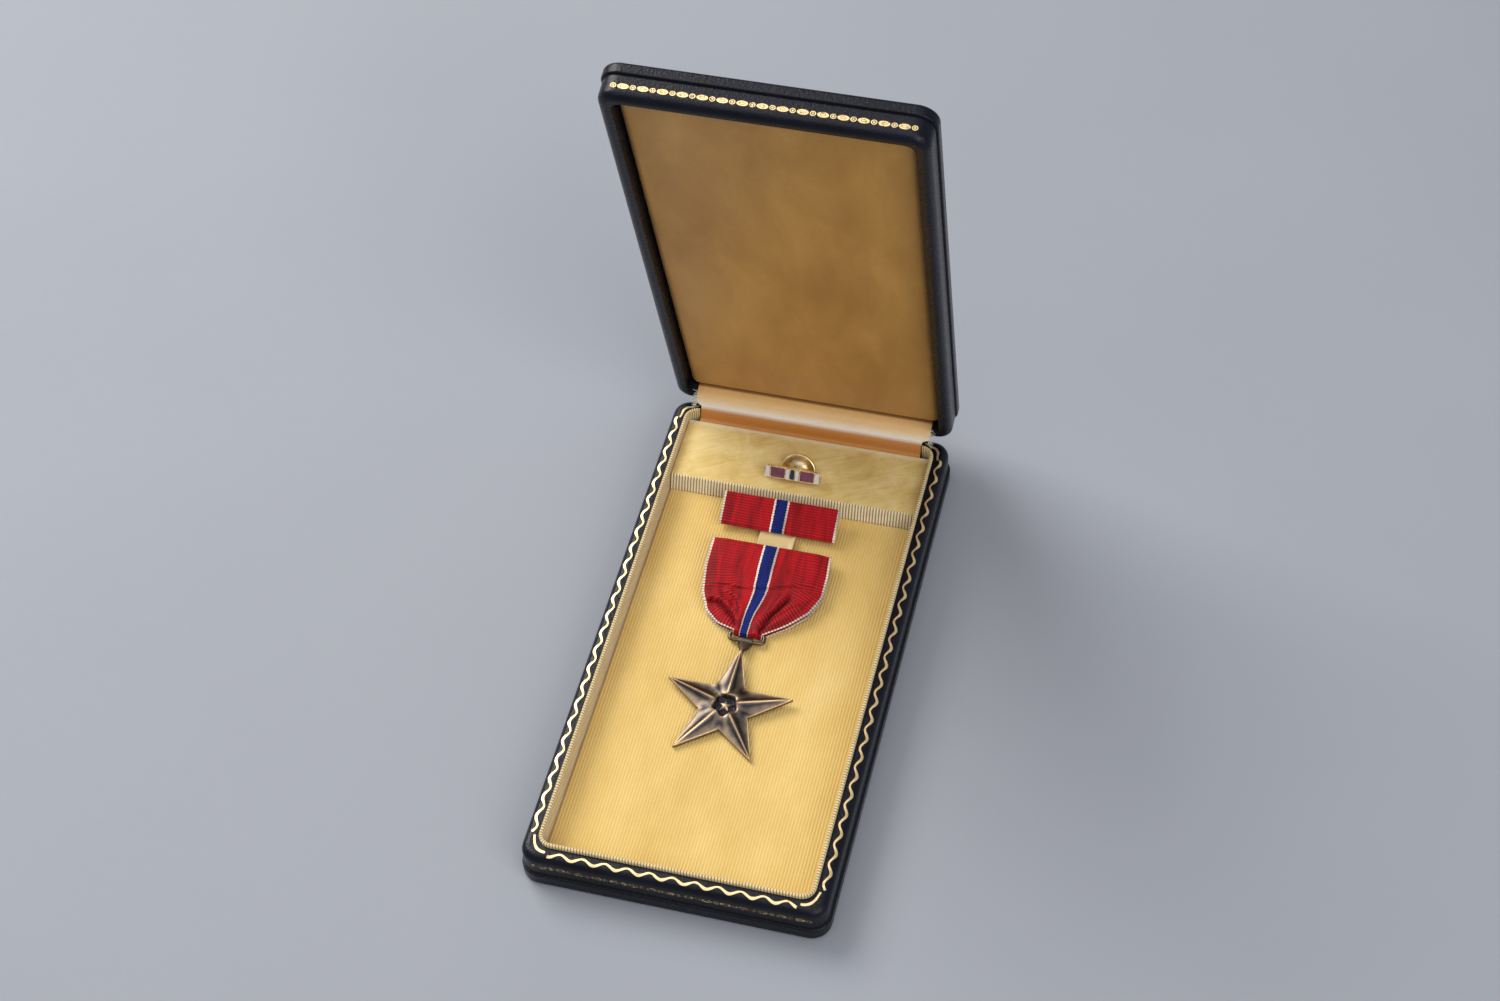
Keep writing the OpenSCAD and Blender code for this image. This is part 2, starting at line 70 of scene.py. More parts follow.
RISER_HALF_W = WELL_X - COLLAR_T - 0.15
GUSSET_HALF_W = 34.2

# Gold leaf: how far it stands off the rim and the walls, and the wall's row of ovals and ringed dots.
# Each shape has its place in the repeat, half its width and height, and the share that is left open
RIM_LEAF, WALL_LEAF = 0.035, 0.03
BAND_PITCH, BAND_END = 5.1, 38.7
BAND_SHAPES = ((0, 1.5, 0.78, 0.5), (0, 0.62, 0.3, 0.02), (0.5, 0.8, 0.72, 0.66), (0.5, 0.3, 0.3, 0.05))

# Middle lines of the strap and of the gusset at rest, as (y, z) pairs
STRAP = [(52.6, 7.75), (50, 7.6), (46, 7.4), (42, 7.4), (40, 7.4), (38, 7.4), (36, 7.35), (34, 7.25),
         (30, 7.15), (27, 7.1)]
GUSSET = [(75.4, 10.65), (76.1, 10.4), (76.8, 10.7), (77.3, 11.6), (77.7, 12.7), (78.3, 13.4),
          (79.2, 13.8), (80.1, 14.1), (80.7, 14.5), (81.0, 15.2), (81.3, 15.9), (81.9, 16.4),
          (83.2, 16.75), (84.6, 17.05), (86.4, 17.3)]

# The medal
CX = -0.75
RIBBON_W = 35.0
STAR_Y, STAR_R, STAR_BACK, STAR_TILT = -21.2, 19.05, 7.5, math.radians(3.8)
STAR_CORNER, HALF_ARM = 0.392, math.radians(36)
STAR_EDGE_Z, CUP_R = 1.15, 3.0
# Its side wall from the top down: how far out, its height, and its rubbed and dark shares
STAR_WALL = np.array([(1.006, 0.95, 0.35, 0.0), (1.008, 0.2, 0.0, 0.3), (1.0, 0.0, 0.0, 0.5)]).T
PIVOT_Y, PIVOT_Z, FOLD_Y, FOLD_R = 1.85, 7.65, 4.65, 1.2
DRAPE_TOP = 33.7
BAR_C, BAR_TILT = Vector((-1.5, 45.2, 11.0)), math.radians(27.4)
BAR_H, BAR_T = 9.5, 1.1
DISC_C, LAPEL_TILT = Vector((-0.1, 62.9, 11.1)), math.radians(55)
SLIT_Y = DISC_C.y - 0.2
LAPEL_CX, LAPEL_FACE_Z = -0.8, 4.7
# Middle and width of each enamel cell along the lapel pin's bar
CELLS = ((-7.55, 1.4), (-4.45, 4.2), (-1.45, 1.1), (0.0, 1.3), (1.45, 1.1), (4.45, 4.2), (7.55, 1.4))
# Radius and height of its disc's outline, from the middle of the front to the middle of the back
BUTTON = ((0.0, 0.5), (0.9, 0.46), (1.9, 0.25), (2.7, -0.1), (3.2, -0.28), (3.9, -0.3), (4.25, -0.1),
          (4.5, 0.2), (4.85, 0.32), (5.2, 0.2), (5.4, -0.05), (5.4, -0.42), (5.2, -0.5), (0.0, -0.5))

# The medal's ribbon in plan: its edges from the top to the fold, and how far its middle line strays
LEFT_EDGE = [(-18.8, DRAPE_TOP), (-18.7, 24.3), (-17.4, 15.6), (-14.6, 9.4), (-10.6, 6.1), (-4.9, FOLD_Y)]
RIGHT_EDGE = [(16.9, DRAPE_TOP), (17.5, 27), (17.5, 19.8), (14.9, 14.0), (10.0, 9.2), (3.4, FOLD_Y)]
SWAY = [(FOLD_Y, -1.25), (8, -1.2), (11, -0.95), (14.5, -0.3), (17.5, 0.1), (21, 0), (27, -0.3),
        (33, -0.35)]
# Its creases: the line of each, how far it lifts on the left and drops on the right, and its reach
CREASES = [
    ([(-19, 17.0), (-10.9, 18.7), (-4.2, 18.9), (2.2, 20.3), (9.3, 22.3), (18, 23.6)], 0.32, 0.42, 1.3),
    ([(-16.8, 12.3), (-14.6, 13.3), (-11.6, 13.2), (-8.6, 11.4), (-5.8, 8.9), (-3.4, 4.6)], 0.95, 1.0, 1.7),
    ([(0.9, 4.0), (2.6, 8.8), (4.8, 13.3), (7.5, 18.2), (9.0, 20.0)], 0.7, 1.2, 1.8),
    ([(-12, 17.0), (-7.4, 15.4), (-4.8, 11.6), (-4.2, 7.0)], 0.4, 0.35, 1.3),
    ([(2.0, 7.0), (4.8, 10.3), (9.5, 15.0), (13.5, 17.8)], 0.25, 0.3, 1.2),
]


# ---- shared mesh tools ----

def ease(x):
    """Smooth step from 0 to 1."""
    x = np.clip(x, 0, 1)
    return x * x * (3 - 2 * x)


def crown(inside, reach):
    """A rounded edge: 0 at the edge and 1 from reach inwards."""
    return np.sqrt(1 - (1 - np.clip(inside / reach, 0, 1)) ** 2)


def bell(x, width, centre=0.0):
    """1 at centre, fading to nothing about two widths away."""
    return np.exp(-((x - centre) / width) ** 2)


def wobble(x, y, size, seed=0.0):
    """Smooth repeatable noise over arrays of positions, about -1 to 1, with features of that size."""
    out = np.empty(np.broadcast(x, y).shape)
    for i, (a, b) in enumerate(np.broadcast(x, y)):
        out.flat[i] = noise.noise(Vector((a / size, b / size, seed)))
    return out


def spread(*parts):
    """Arrays brought to one shape and stacked as coordinates."""
    return np.stack(np.broadcast_arrays(*parts), -1)


def tilted(points, centre, angle):
    """Points of a frame that leans back by angle about X, moved to centre."""
    x, y, z = np.moveaxis(np.array(points, float), -1, 0)
    c, s = math.cos(angle), math.sin(angle)
    return spread(centre.x + x, centre.y + y * c - z * s, centre.z + y * s + z * c)


def opened(points):
    """Closed-lid points, in mm, turned to the open rest position."""
    return tilted(np.array(points, float) - np.array(HINGE), HINGE, -LID_OPEN)


def run(line):
    """Distance along a line of points, from its start."""
    return np.concatenate([[0], np.cumsum(np.hypot(*np.diff(line, axis=0).T))])


def resampled(line, count):
    """Evenly spaced points along a line, and their distances along it."""
    far = run(line)
    even = np.linspace(0, far[-1], count)
    return np.stack([np.interp(even, far, line[:, k]) for k in (0, 1)], -1), even


def relaxed(line, times):
    """Rounds a line's corners off and leaves its ends in place."""
    for _ in range(times):
        line[1:-1] = (line[:-2] + 2 * line[1:-1] + line[2:]) / 4
    return line


def linked(name, data):
    """A new object in the scene, with that data."""
    piece = bpy.data.objects.new(name, data)
    bpy.context.scene.collection.objects.link(piece)
    return piece


def mesh_object(name, points, faces, uv=None, values=None):
    """Smooth mesh from points in mm. uv has one pair a point; values holds named greys a point."""
    mesh = bpy.data.meshes.new(name)
    mesh.from_pydata((np.array(points, float) * MM).tolist(), [], faces)
    if uv is not None:
        layer = mesh.uv_layers.new(name="UVMap")
        index = np.empty(len(mesh.loops), np.int32)
        mesh.loops.foreach_get("vertex_index", index)
        layer.data.foreach_set("uv", np.array(uv, np.float32)[index].ravel())
    for key, amount in (values or {}).items():
        layer = mesh.color_attributes.new(name=key, type="FLOAT_COLOR", domain="POINT")
        layer.data.foreach_set("color", np.repeat(np.ravel(amount).astype(np.float32), 4))
    mesh.shade_smooth()
    return linked(name, mesh)


def grid_faces(rows, columns, start=0, keep=None):
    """Quads between neighbouring points of a grid; keep(i, j) may leave some out."""
    faces = []
    for i in range(rows - 1):
        for j in range(columns - 1):
            if keep is None or keep(i, j):
                a = start + i * columns + j
                faces.append((a, a + 1, a + columns + 1, a + columns))
    return faces


def flipped(faces):
    """The same faces, turned over."""
    return [tuple(reversed(face)) for face in faces]


def tube_faces(start, rings, sides, closed=False):
    """Quads round a run of rings of points; a closed run joins its last ring to its first."""
    faces = []
    for ring in range(rings if closed else rings - 1):
        for k in range(sides):
            here, there = start + ring * sides, start + (ring + 1) % rings * sides
            after = (k + 1) % sides
            faces.append((here + k, here + after, there + after, there + k))
    return faces


def grid_object(name, points, uv, keep=None, values=None):
    """Mesh over a grid of points, with one uv pair for each."""
    rows, columns = points.shape[:2]
    return mesh_object(name, points.reshape(-1, 3), grid_faces(rows, columns, keep=keep),
                       uv.reshape(-1, 2), values)


def thicken(piece, thickness, offset=-1.0):
    """Gives a surface a thickness in mm, behind it unless offset says otherwise."""
    solid = piece.modifiers.new("thickness", "SOLIDIFY")
    solid.thickness = thickness * MM
    solid.offset = offset
    return piece


def smoothed(piece, levels):
    """Subdivides a piece when it is rendered or exported."""
    smooth = piece.modifiers.new("smooth", "SUBSURF")
    smooth.levels = smooth.render_levels = levels


def welded(piece):
    """Joins the points of a piece that meet."""
    piece.modifiers.new("weld", "WELD").merge_threshold = WELD


def place(piece, body, slot, look, *nodes):
    """Gives a new piece its finish and its body if it has just one, and hides the CAD nodes that it stands
    for.
    """
    piece.data.materials.append(look)
    if body:
        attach(piece, body)
    if nodes:
        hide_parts(*nodes)
    return piece


def lines(first, last, edge, fine, coarse):
    """Positions from first to last, close together within edge of both ends."""
    inner = np.linspace(first + edge, last - edge, max(2, round((last - first - 2 * edge) / coarse)))
    steps = np.linspace(0, edge, max(2, round(edge / fine)) + 1)[:-1]
    return np.concatenate([first + steps, inner, (last - steps)[::-1]])


def rounded(x, y, half_w, half_l, r):
    """Moves points outside a rounded rectangle onto it, and says how far inside each one lies."""
    cx, cy = np.sign(x) * (half_w - r), np.sign(y) * (half_l - r)
    corner = (np.abs(x) > half_w - r) & (np.abs(y) > half_l - r)
    away = np.maximum(np.hypot(x - cx, y - cy), 1e-6)
    pull = np.where(corner & (away > r), r / away, 1.0)
    x, y = np.where(corner, cx + (x - cx) * pull, x), np.where(corner, cy + (y - cy) * pull, y)
    qx, qy = np.abs(x) - (half_w - r), np.abs(y) - (half_l - r)
    signed = np.hypot(np.maximum(qx, 0), np.maximum(qy, 0)) + np.minimum(np.maximum(qx, qy), 0) - r
    return x, y, np.maximum(-signed, 0)


def rounded_grid(half_w, half_l, r, edge, fine, coarse):
    """A grid over a rounded rectangle, closer near its sides, and how far inside each point lies."""
    x, y = np.meshgrid(*(lines(-half, half, edge, fine, coarse) for half in (half_w, half_l)))
    return rounded(x, y, half_w, half_l, r)


# ---- finishes ----

class Look:
    """A procedural finish: one Principled shader and the nodes that feed it. It works in mm."""

    def __init__(self, name, sockets):
        self.made = bpy.data.materials.new(name)
        self.made.use_nodes = True
        self.tree = self.made.node_tree
        self.shader = self.tree.nodes["Principled BSDF"]
        for key, value in sockets.items():
            self.shader.inputs[key].default_value = value

    def feed(self, socket, value):
        """Links a node's output to a socket, or sets the socket where value is a plain one."""
        if isinstance(value, bpy.types.NodeSocket):
            self.tree.links.new(value, socket)
        else:
            socket.default_value = value

    def add(self, kind, inputs, **settings):
        """A new node with its inputs fed and its settings made."""
        node = self.tree.nodes.new("ShaderNode" + kind)
        for key, value in settings.items():
            setattr(node, key, value)
        for key, value in inputs.items():
            self.feed(node.inputs[key], value)
        return node

    def math(self, operation, a, b=0.0):
        return self.add("Math", {0: a, 1: b}, operation=operation).outputs[0]

    def by(self, a, b):
        return self.math("MULTIPLY", a, b)

    def plus(self, a, b):
        return self.math("ADD", a, b)

    def object_mm(self):
        """Position in the object, in mm."""
        point = self.add("TexCoord", {}).outputs["Object"]
        return self.times(point, 1 / MM, 1 / MM, 1 / MM)

    def uv(self):
        return self.add("TexCoord", {}).outputs["UV"]

    def times(self, vector, x, y, z=1.0):
        return self.add("VectorMath", {0: vector, 1: (x, y, z)}, operation="MULTIPLY").outputs[0]

    def parts(self, vector):
        return self.add("SeparateXYZ", {0: vector}).outputs

    def noise(self, vector, scale, detail=2.0, rough=0.5, distortion=0.0):
        return self.add("TexNoise", {"Vector": vector, "Scale": scale, "Detail": detail,
                                     "Roughness": rough, "Distortion": distortion}).outputs["Fac"]

    def cells(self, vector, scale):
        return self.add("TexVoronoi", {"Vector": vector, "Scale": scale}).outputs["Distance"]

    def ribs(self, along, pitch, shift=0.0):
        """Rounded ribs across a coordinate in mm: 0 in the gaps and 1 on the crests."""
        wave = self.math("SINE", self.plus(self.by(along, 2 * math.pi / pitch), shift))
        return self.by(self.plus(wave, 1.0), 0.5)

    def ramp(self, value, stops, interpolation="LINEAR"):
        """Colours or greys at positions from 0 to 1."""
        node = self.add("ValToRGB", {0: value})
        node.color_ramp.interpolation = interpolation
        elements = node.color_ramp.elements
        while len(elements) < len(stops):
            elements.new(0.5)
        for element, (position, colour) in zip(elements, stops):
            element.position = position
            element.color = (*colour, 1.0) if hasattr(colour, "__len__") else (colour,) * 3 + (1.0,)
        return node.outputs["Color"]

    def mix(self, factor, a, b, mode="MIX"):
        """Colour a with b over it by factor."""
        node = self.add("Mix", {}, data_type="RGBA", blend_type=mode)
        colours = [(*c, 1.0) if isinstance(c, tuple) and len(c) == 3 else c for c in (a, b)]
        for key, value in ((0, factor), (6, colours[0]), (7, colours[1])):  # 6 and 7 are the colour inputs
            self.feed(node.inputs[key], value)
        return node.outputs[2]

    def value(self, name):
        """The named grey of the mesh's points."""
        return self.add("VertexColor", {}, layer_name=name).outputs["Color"]

    def colour(self, value):
        self.feed(self.shader.inputs["Base Color"], value)
        return self

    def roughness(self, value, low, high):
        """Roughness from low to high as value goes from 0 to 1."""
        self.feed(self.shader.inputs["Roughness"], self.plus(self.by(value, high - low), low))
        return self

    def relief(self, height, depth):
        """Bump of that depth in mm."""
        node = self.add("Bump", {"Height": height, "Distance": depth * MM, "Strength": 1.0})
        self.feed(self.shader.inputs["Normal"], node.outputs["Normal"])
        return self


def soft_look(name, sheen, sheen_roughness, specular, **more):
    """A finish with a soft sheen, for cloth."""
    return Look(name, {"Sheen Weight": sheen, "Sheen Roughness": sheen_roughness,
                       "Specular IOR Level": specular, **more})


def leatherette():
    """Navy leatherette with a fine pebbled grain, scuffed pale here and there."""
    look = Look("leatherette", {"Specular IOR Level": 0.26})
    place_mm = look.object_mm()
    tone = look.noise(place_mm, 0.09, 4.0)
    scuff = look.ramp(look.noise(place_mm, 0.5, 8.0, 0.7), [(0.62, 0.0), (0.78, 1.0)])
    navy = look.ramp(tone, [(0.3, (0.0015, 0.002, 0.005)), (0.7, (0.004, 0.005, 0.013))])
    look.colour(look.mix(look.by(scuff, 0.3), navy, (0.03, 0.036, 0.056)))
    look.roughness(look.noise(place_mm, 0.8, 5.0), 0.2, 0.38)
    grain = look.by(look.cells(place_mm, 1.5), 0.8)
    return look.relief(look.plus(grain, look.noise(place_mm, 3.5, 4.0)), 0.07).made


def gold_leaf(dim):
    """Tooled gold: pale and broken where it has rubbed off; a higher dim leaves more of it bare and darker.
    """
    look = Look("gold_tooling", {"Metallic": 0.85})
    place_mm = look.object_mm()
    rub = look.noise(place_mm, 1.1, 6.0, 0.7)
    bare, gold, bright = (0.10, 0.075, 0.04), (0.93, 0.66, 0.30), (1.0, 0.82, 0.50)
    worn = look.ramp(rub, [(0.25 + 0.3 * dim, bare), (0.38 + 0.3 * dim, gold), (0.75, bright)])
    look.colour(worn).roughness(look.noise(place_mm, 4.0, 3.0), 0.25, 0.5)
    return look.relief(rub, 0.06).made


def tray_weave():
    """Warm gold cloth with fine ribs that run from front to back."""
    look = soft_look("tray_cloth", 0.2, 0.5, 0.2)
    flat = look.uv()
    rib = look.ribs(look.parts(flat)[0], 0.9)
    thread = look.noise(look.times(flat, 1.0, 6.0), 2.2, 3.0, 0.7)
    cloud = look.noise(look.times(flat, 1.0, 0.5), 0.06, 5.0, 0.6)
    body = look.ramp(cloud, [(0.3, (0.70, 0.47, 0.14)), (0.55, (0.77, 0.54, 0.18)),
                             (0.75, (0.81, 0.60, 0.23))])
    shade = look.ramp(look.plus(look.by(rib, 0.75), look.by(thread, 0.3)), [(0.1, 0.86), (0.75, 1.02)])
    cloth = look.mix(1.0, body, shade, "MULTIPLY")
    speck = look.ramp(look.noise(flat, 0.55, 2.0, 0.5), [(0.80, 0.0), (0.83, 0.7)])
    look.colour(look.mix(speck, cloth, (0.22, 0.12, 0.05))).roughness(thread, 0.7, 0.95)
    return look.relief(look.plus(rib, look.by(thread, 0.4)), 0.11).made


def ribbed_edging(name, light, gap, pitch):
    """Cream ribbed cloth: upright ribs along u, with grey-brown gaps."""
    look = soft_look(name, 0.3, 0.5, 0.2)
    flat = look.uv()
    along = look.parts(flat)[0]
    wander = look.by(look.noise(look.times(flat, 0.4, 0.9), 0.8, 3.0), 1.6)
    rib = look.ribs(along, pitch, wander)
    soil = look.noise(look.times(flat, 1.0, 2.0), 0.16, 6.0, 0.65)
    cream = look.ramp(soil, [(0.3, tuple(0.8 * c for c in light)), (0.6, light)])
    look.colour(look.mix(look.ramp(rib, [(0.12, 0.0), (0.6, 1.0)]), gap, cream))
    look.roughness(soil, 0.7, 0.95)
    return look.relief(rib, 0.16).made


def plush():
    """Short pile brushed in streaks, rubbed pale along its back edge."""
    look = soft_look("plush", 0.6, 0.35, 0.15)
    flat = look.uv()
    turned = look.add("VectorRotate", {"Vector": flat, "Angle": -0.45}, rotation_type="Z_AXIS").outputs[0]
    streak = look.noise(look.times(turned, 0.16, 1.1), 0.55, 5.0, 0.65, 0.8)
    patch = look.noise(flat, 0.09, 4.0, 0.6, 0.6)
    pile = look.noise(flat, 7.0, 2.0, 0.6)
    tone = look.plus(look.by(streak, 0.35), look.by(patch, 0.65))
    body = look.ramp(tone, [(0.36, (0.66, 0.45, 0.14)), (0.5, (0.80, 0.60, 0.23)),
                            (0.66, (0.92, 0.75, 0.38))])
    to_edge = look.math("SUBTRACT", look.parts(flat)[1], RISER_BACK - 4.4)
    reach = look.plus(to_edge, look.by(look.noise(flat, 0.5, 4.0, 0.6), 2.4))
    rubbed = look.ramp(look.math("DIVIDE", reach, 6.0), [(0.55, 0.0), (0.85, 0.8)])
    body = look.mix(rubbed, body, (0.95, 0.85, 0.62))
    look.colour(look.mix(look.by(pile, 0.25), body, (0.42, 0.27, 0.08)))
    look.roughness(streak, 0.75, 1.0)
    return look.relief(look.plus(look.by(pile, 0.7), streak), 0.16).made


def satin(name, low, high, sheen=0.35, bands=None):
    """Lustrous lining with fine threads along v; bands gives tones at distances in mm along u."""
    look = soft_look(name, sheen, 0.3, 0.6, Anisotropic=0.5)
    flat = look.uv()
    thread = look.noise(look.times(flat, 9.0, 0.6), 1.0, 3.0, 0.6)
    cloud = look.noise(look.times(flat, 1.6, 0.7), 0.035, 4.0, 0.55, 0.4)
    body = look.ramp(cloud, [(0.3, low), (0.7, high)])
    # bands, where given, hold painted shade and a painted highlight laid along u.
    if bands:
        far = bands[-1][0]
        share = look.math("DIVIDE", look.parts(flat)[0], far)
        body = look.mix(0.9, body, look.ramp(share, [(at / far, tone) for at, tone in bands]))
    shade = look.ramp(thread, [(0.3, 0.88), (0.7, 1.04)])
    look.colour(look.mix(1.0, body, shade, "MULTIPLY")).roughness(thread, 0.34, 0.5)
    ripple = look.noise(look.times(flat, 1.2, 0.25), 0.25, 3.0, 0.5)
    return look.relief(look.plus(look.by(thread, 0.25), ripple), 0.12).made


def ribbon_cloth():
    """Ribbed moire ribbon with painted shade in its rib gaps and sunk creases: u is mm across from its
    middle, v is mm along it.
    """
    red, blue, white = (0.37, 0.003, 0.0075), (0.003, 0.014, 0.16), (0.80, 0.66, 0.54)
    look = soft_look("ribbon", 0.05, 0.4, 0.2)
    flat = look.uv()
    across, along, _ = look.parts(flat)
    ragged = look.by(look.noise(look.times(flat, 0.3, 1.0), 1.6, 2.0), 0.35)
    place_u = look.plus(look.math("SUBTRACT", across, 0.17), ragged)
    share = look.math("DIVIDE", look.plus(place_u, RIBBON_W / 2), RIBBON_W)
    starts, units = (0, 0.75, 19.1, 19.9, 24.1, 24.9, 43.25), 44
    tones = (white, red, white, blue, white, red, white)
    stripe = look.ramp(share, [(at / units, tone) for at, tone in zip(starts, tones)], "CONSTANT")
    watermark = look.noise(look.times(flat, 0.45, 0.055), 1.0, 3.0, 0.5, 0.7)
    phase = look.by(look.noise(look.times(flat, 0.25, 0.25), 1.0, 2.0, 0.5), 1.2)
    rib = look.ribs(along, 0.8, phase)
    column = look.ramp(watermark, [(0.38, 0.66), (0.5, 1.0), (0.62, 1.36)])
    dyed = look.mix(1.0, stripe, column, "MULTIPLY")
    # Painted shade in the rib gaps, deeper on the flaps where light grazes the ribs.
    gap = look.plus(look.by(look.value("flap"), 0.3), 0.45)
    crest = look.by(look.math("SUBTRACT", look.ramp(rib, [(0.0, 0.0), (0.6, 1.0)]), 1.0), gap)
    ribbed = look.mix(1.0, dyed, look.plus(crest, 1.05), "MULTIPLY")
    # Painted shade: the ribbon turns dark red where its creases sink.
    look.colour(look.mix(look.value("fold"), ribbed, (0.07, 0.002, 0.004)))
    look.roughness(watermark, 0.45, 0.75)
    return look.relief(rib, 0.13).made


def bronze(name, marked=False):
    """Dark patina; on a marked mesh, with copper where it is rubbed and dirt where it is dark."""
    look = Look(name, {"Metallic": 0.9, "Coat Weight": 0.1, "Coat Roughness": 0.3})
    place_mm = look.object_mm()
    blotch = look.noise(place_mm, 0.35, 6.0, 0.65)
    patina = look.ramp(blotch, [(0.3, (0.080, 0.066, 0.055)), (0.5, (0.145, 0.115, 0.085)),
                                (0.72, (0.24, 0.185, 0.125))])
    if marked:
        bare = look.mix(look.value("wear"), patina, (0.88, 0.60, 0.35))
        patina = look.mix(look.value("dark"), bare, (0.012, 0.014, 0.026))
    look.colour(patina).roughness(blotch, 0.26, 0.46)
    return look.relief(look.noise(place_mm, 2.5, 5.0, 0.6), 0.02).made


def metal(name, tone, low, high, grain=0.02):
    """Plain metal of one tone with slight tarnish and fine scratches; low and high bound its roughness."""
    look = Look(name, {"Metallic": 1.0})
    place_mm = look.object_mm()
    tarnish = look.noise(place_mm, 0.5, 5.0, 0.6)
    deep = tuple(0.62 * c for c in tone)
    look.colour(look.ramp(tarnish, [(0.3, deep), (0.6, tone)])).roughness(tarnish, low, high)
    return look.relief(look.noise(look.times(place_mm, 1.0, 8.0, 8.0), 1.5, 3.0), grain).made


def enamel(name, deep, pale):
    """Glossy enamel, slightly clouded and pitted."""
    look = Look(name, {"Coat Weight": 0.6, "Coat Roughness": 0.08})
    place_mm = look.object_mm()
    cloud = look.noise(place_mm, 0.6, 5.0, 0.6)
    look.colour(look.ramp(cloud, [(0.3, deep), (0.7, pale)])).roughness(cloud, 0.12, 0.3)
    return look.relief(look.noise(place_mm, 1.4, 3.0), 0.03).made


def raw_board(name, deep, pale, stretch):
    """Wood or card, seen only at hidden edges."""
    look = Look(name, {"Roughness": 0.9})
    grain = look.noise(look.times(look.object_mm(), *stretch), 0.5, 6.0, 0.6, 0.5)
    return look.colour(look.ramp(grain, [(0.3, deep), (0.7, pale)])).relief(grain, 0.1).made


def dress_cad_nodes():
    """Gives every CAD node that stays in view its own finish."""
    leather = leatherette()
    wood = raw_board("blackened_wood", (0.006, 0.005, 0.005), (0.018, 0.015, 0.013), (1.0, 0.1, 1.0))
    card = raw_board("card", (0.45, 0.38, 0.26), (0.6, 0.52, 0.38), (1.0, 1.0, 1.0))
    hinge_brass = metal("hinge_brass", (0.70, 0.52, 0.26), 0.3, 0.55)
    steel = metal("steel", (0.55, 0.55, 0.57), 0.25, 0.45)
    fitting = metal("fitting_brass", (0.55, 0.40, 0.22), 0.3, 0.5)
    gilt = metal("gilt", (1.0, 0.78, 0.42), 0.2, 0.34, 0.01)
    finishes = {
        leather: ["base_board_cover", "base_frame_cover", "lid_board_cover", "lid_frame_cover"],
        wood: ["base_board", "base_frame", "lid_board", "lid_frame"],
        card: ["tray_floor_card", "riser_block", "lid_pad_card"],
        hinge_brass: ["hinge_base_leaf", "hinge_lid_leaf"],
        steel: ["hinge_pin", "hinge_spring", "hinge_nails_base", "hinge_nails_lid", "brooch_pin",
                "bar_pin"],
        fitting: ["brooch_plate", "brooch_hinge_lug", "brooch_catch", "bar_backing", "bar_hinge_lug",
                  "bar_catch"],
        bronze("bronze"): ["ribbon_loop", "star_sleeve"],
        gilt: ["lapel_bar", "lapel_post"],
        enamel("enamel_white", (0.66, 0.62, 0.54), (0.84, 0.81, 0.75)): ["lapel_enamel_white"],
        enamel("enamel_red", (0.135, 0.028, 0.055), (0.24, 0.065, 0.10)): ["lapel_enamel_red"],
        enamel("enamel_blue", (0.006, 0.010, 0.035), (0.015, 0.025, 0.07)): ["lapel_enamel_blue"],
    }
    for look, nodes in finishes.items():
        for node in nodes:
            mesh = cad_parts[node].data
            mesh.materials.clear()
            mesh.materials.append(look)


# ---- gold tooling ----

def rim_point(side, share, out):
    """A point on the base rim: out is mm outwards from the tray, share runs along one part of it."""
    sign, r = -1 if "left" in side else 1, WELL_R + out
    if side in ("left", "right"):
        x, y = sign * (WELL_X + out), TURN_BACK + (TURN_FRONT - TURN_BACK) * share
    elif side == "front":
        x, y = -FLAT_X + 2 * FLAT_X * share, WELL_FRONT - out
    else:
        angle = share * math.pi / 2
        x = sign * (FLAT_X + r * np.cos(angle))
        y = TURN_FRONT - r * np.sin(angle) if "front" in side else TURN_BACK + r * np.sin(angle)
    over = np.maximum(out - (CASE_W / 2 - WELL_X - RIM_ROUND), 0)
    z = BASE_RIM_Z - RIM_ROUND + np.sqrt(np.maximum(RIM_ROUND ** 2 - over ** 2, 0))
    return spread(x, y, z + RIM_LEAF)


def tooled_wave(side, length, steps, waves, phase, middle=1.95, swing=0.62, first=0.0, last=1.0):
    """Strip of leaf that swings in and out along one part of the rim, middle mm away from the tray."""
    share = np.linspace(first, last, steps)
    turn = np.sin(2 * math.pi * waves * share + phase)
    out, half = middle + swing * turn, (0.62 + 0.12 * turn + 0.1 * np.sin(97 * share) ** 2) / 2
    slope = np.gradient(out, share * length)
    lean = np.sqrt(1 + slope ** 2)
    return np.stack([rim_point(side, share - k * half * slope / lean / length, out + k * half / lean)
                     for k in (-1, -0.33, 0.33, 1)])


def rim_tooling(look):
    """The wavy line of leaf round the base's rim, as one piece."""
    side_l, front_l, turn_l = TURN_BACK - TURN_FRONT, 2 * FLAT_X, 9.5
    strips = []
    for side in ("left", "right"):
        strips.append(tooled_wave(side, side_l, 1300, 24, 0.4))
        strips.append(tooled_wave("back_" + side, turn_l, 90, 1.6, 0.4 + math.pi, 1.6, 0.3, 0.0, 0.95))
        strips.append(tooled_wave("front_" + side, turn_l, 60, 1, 3.6, 1.5, 0.28, 0.1, 0.9))
    strips.append(tooled_wave("front", front_l, 800, 11, 1.2))
    points, faces = [], []
    for strip in strips:
        faces += grid_faces(*strip.shape[:2], start=len(points))
        points += strip.reshape(-1, 3).tolist()
    return place(mesh_object("rim_tooling", points, faces), "base", "gilt", look)


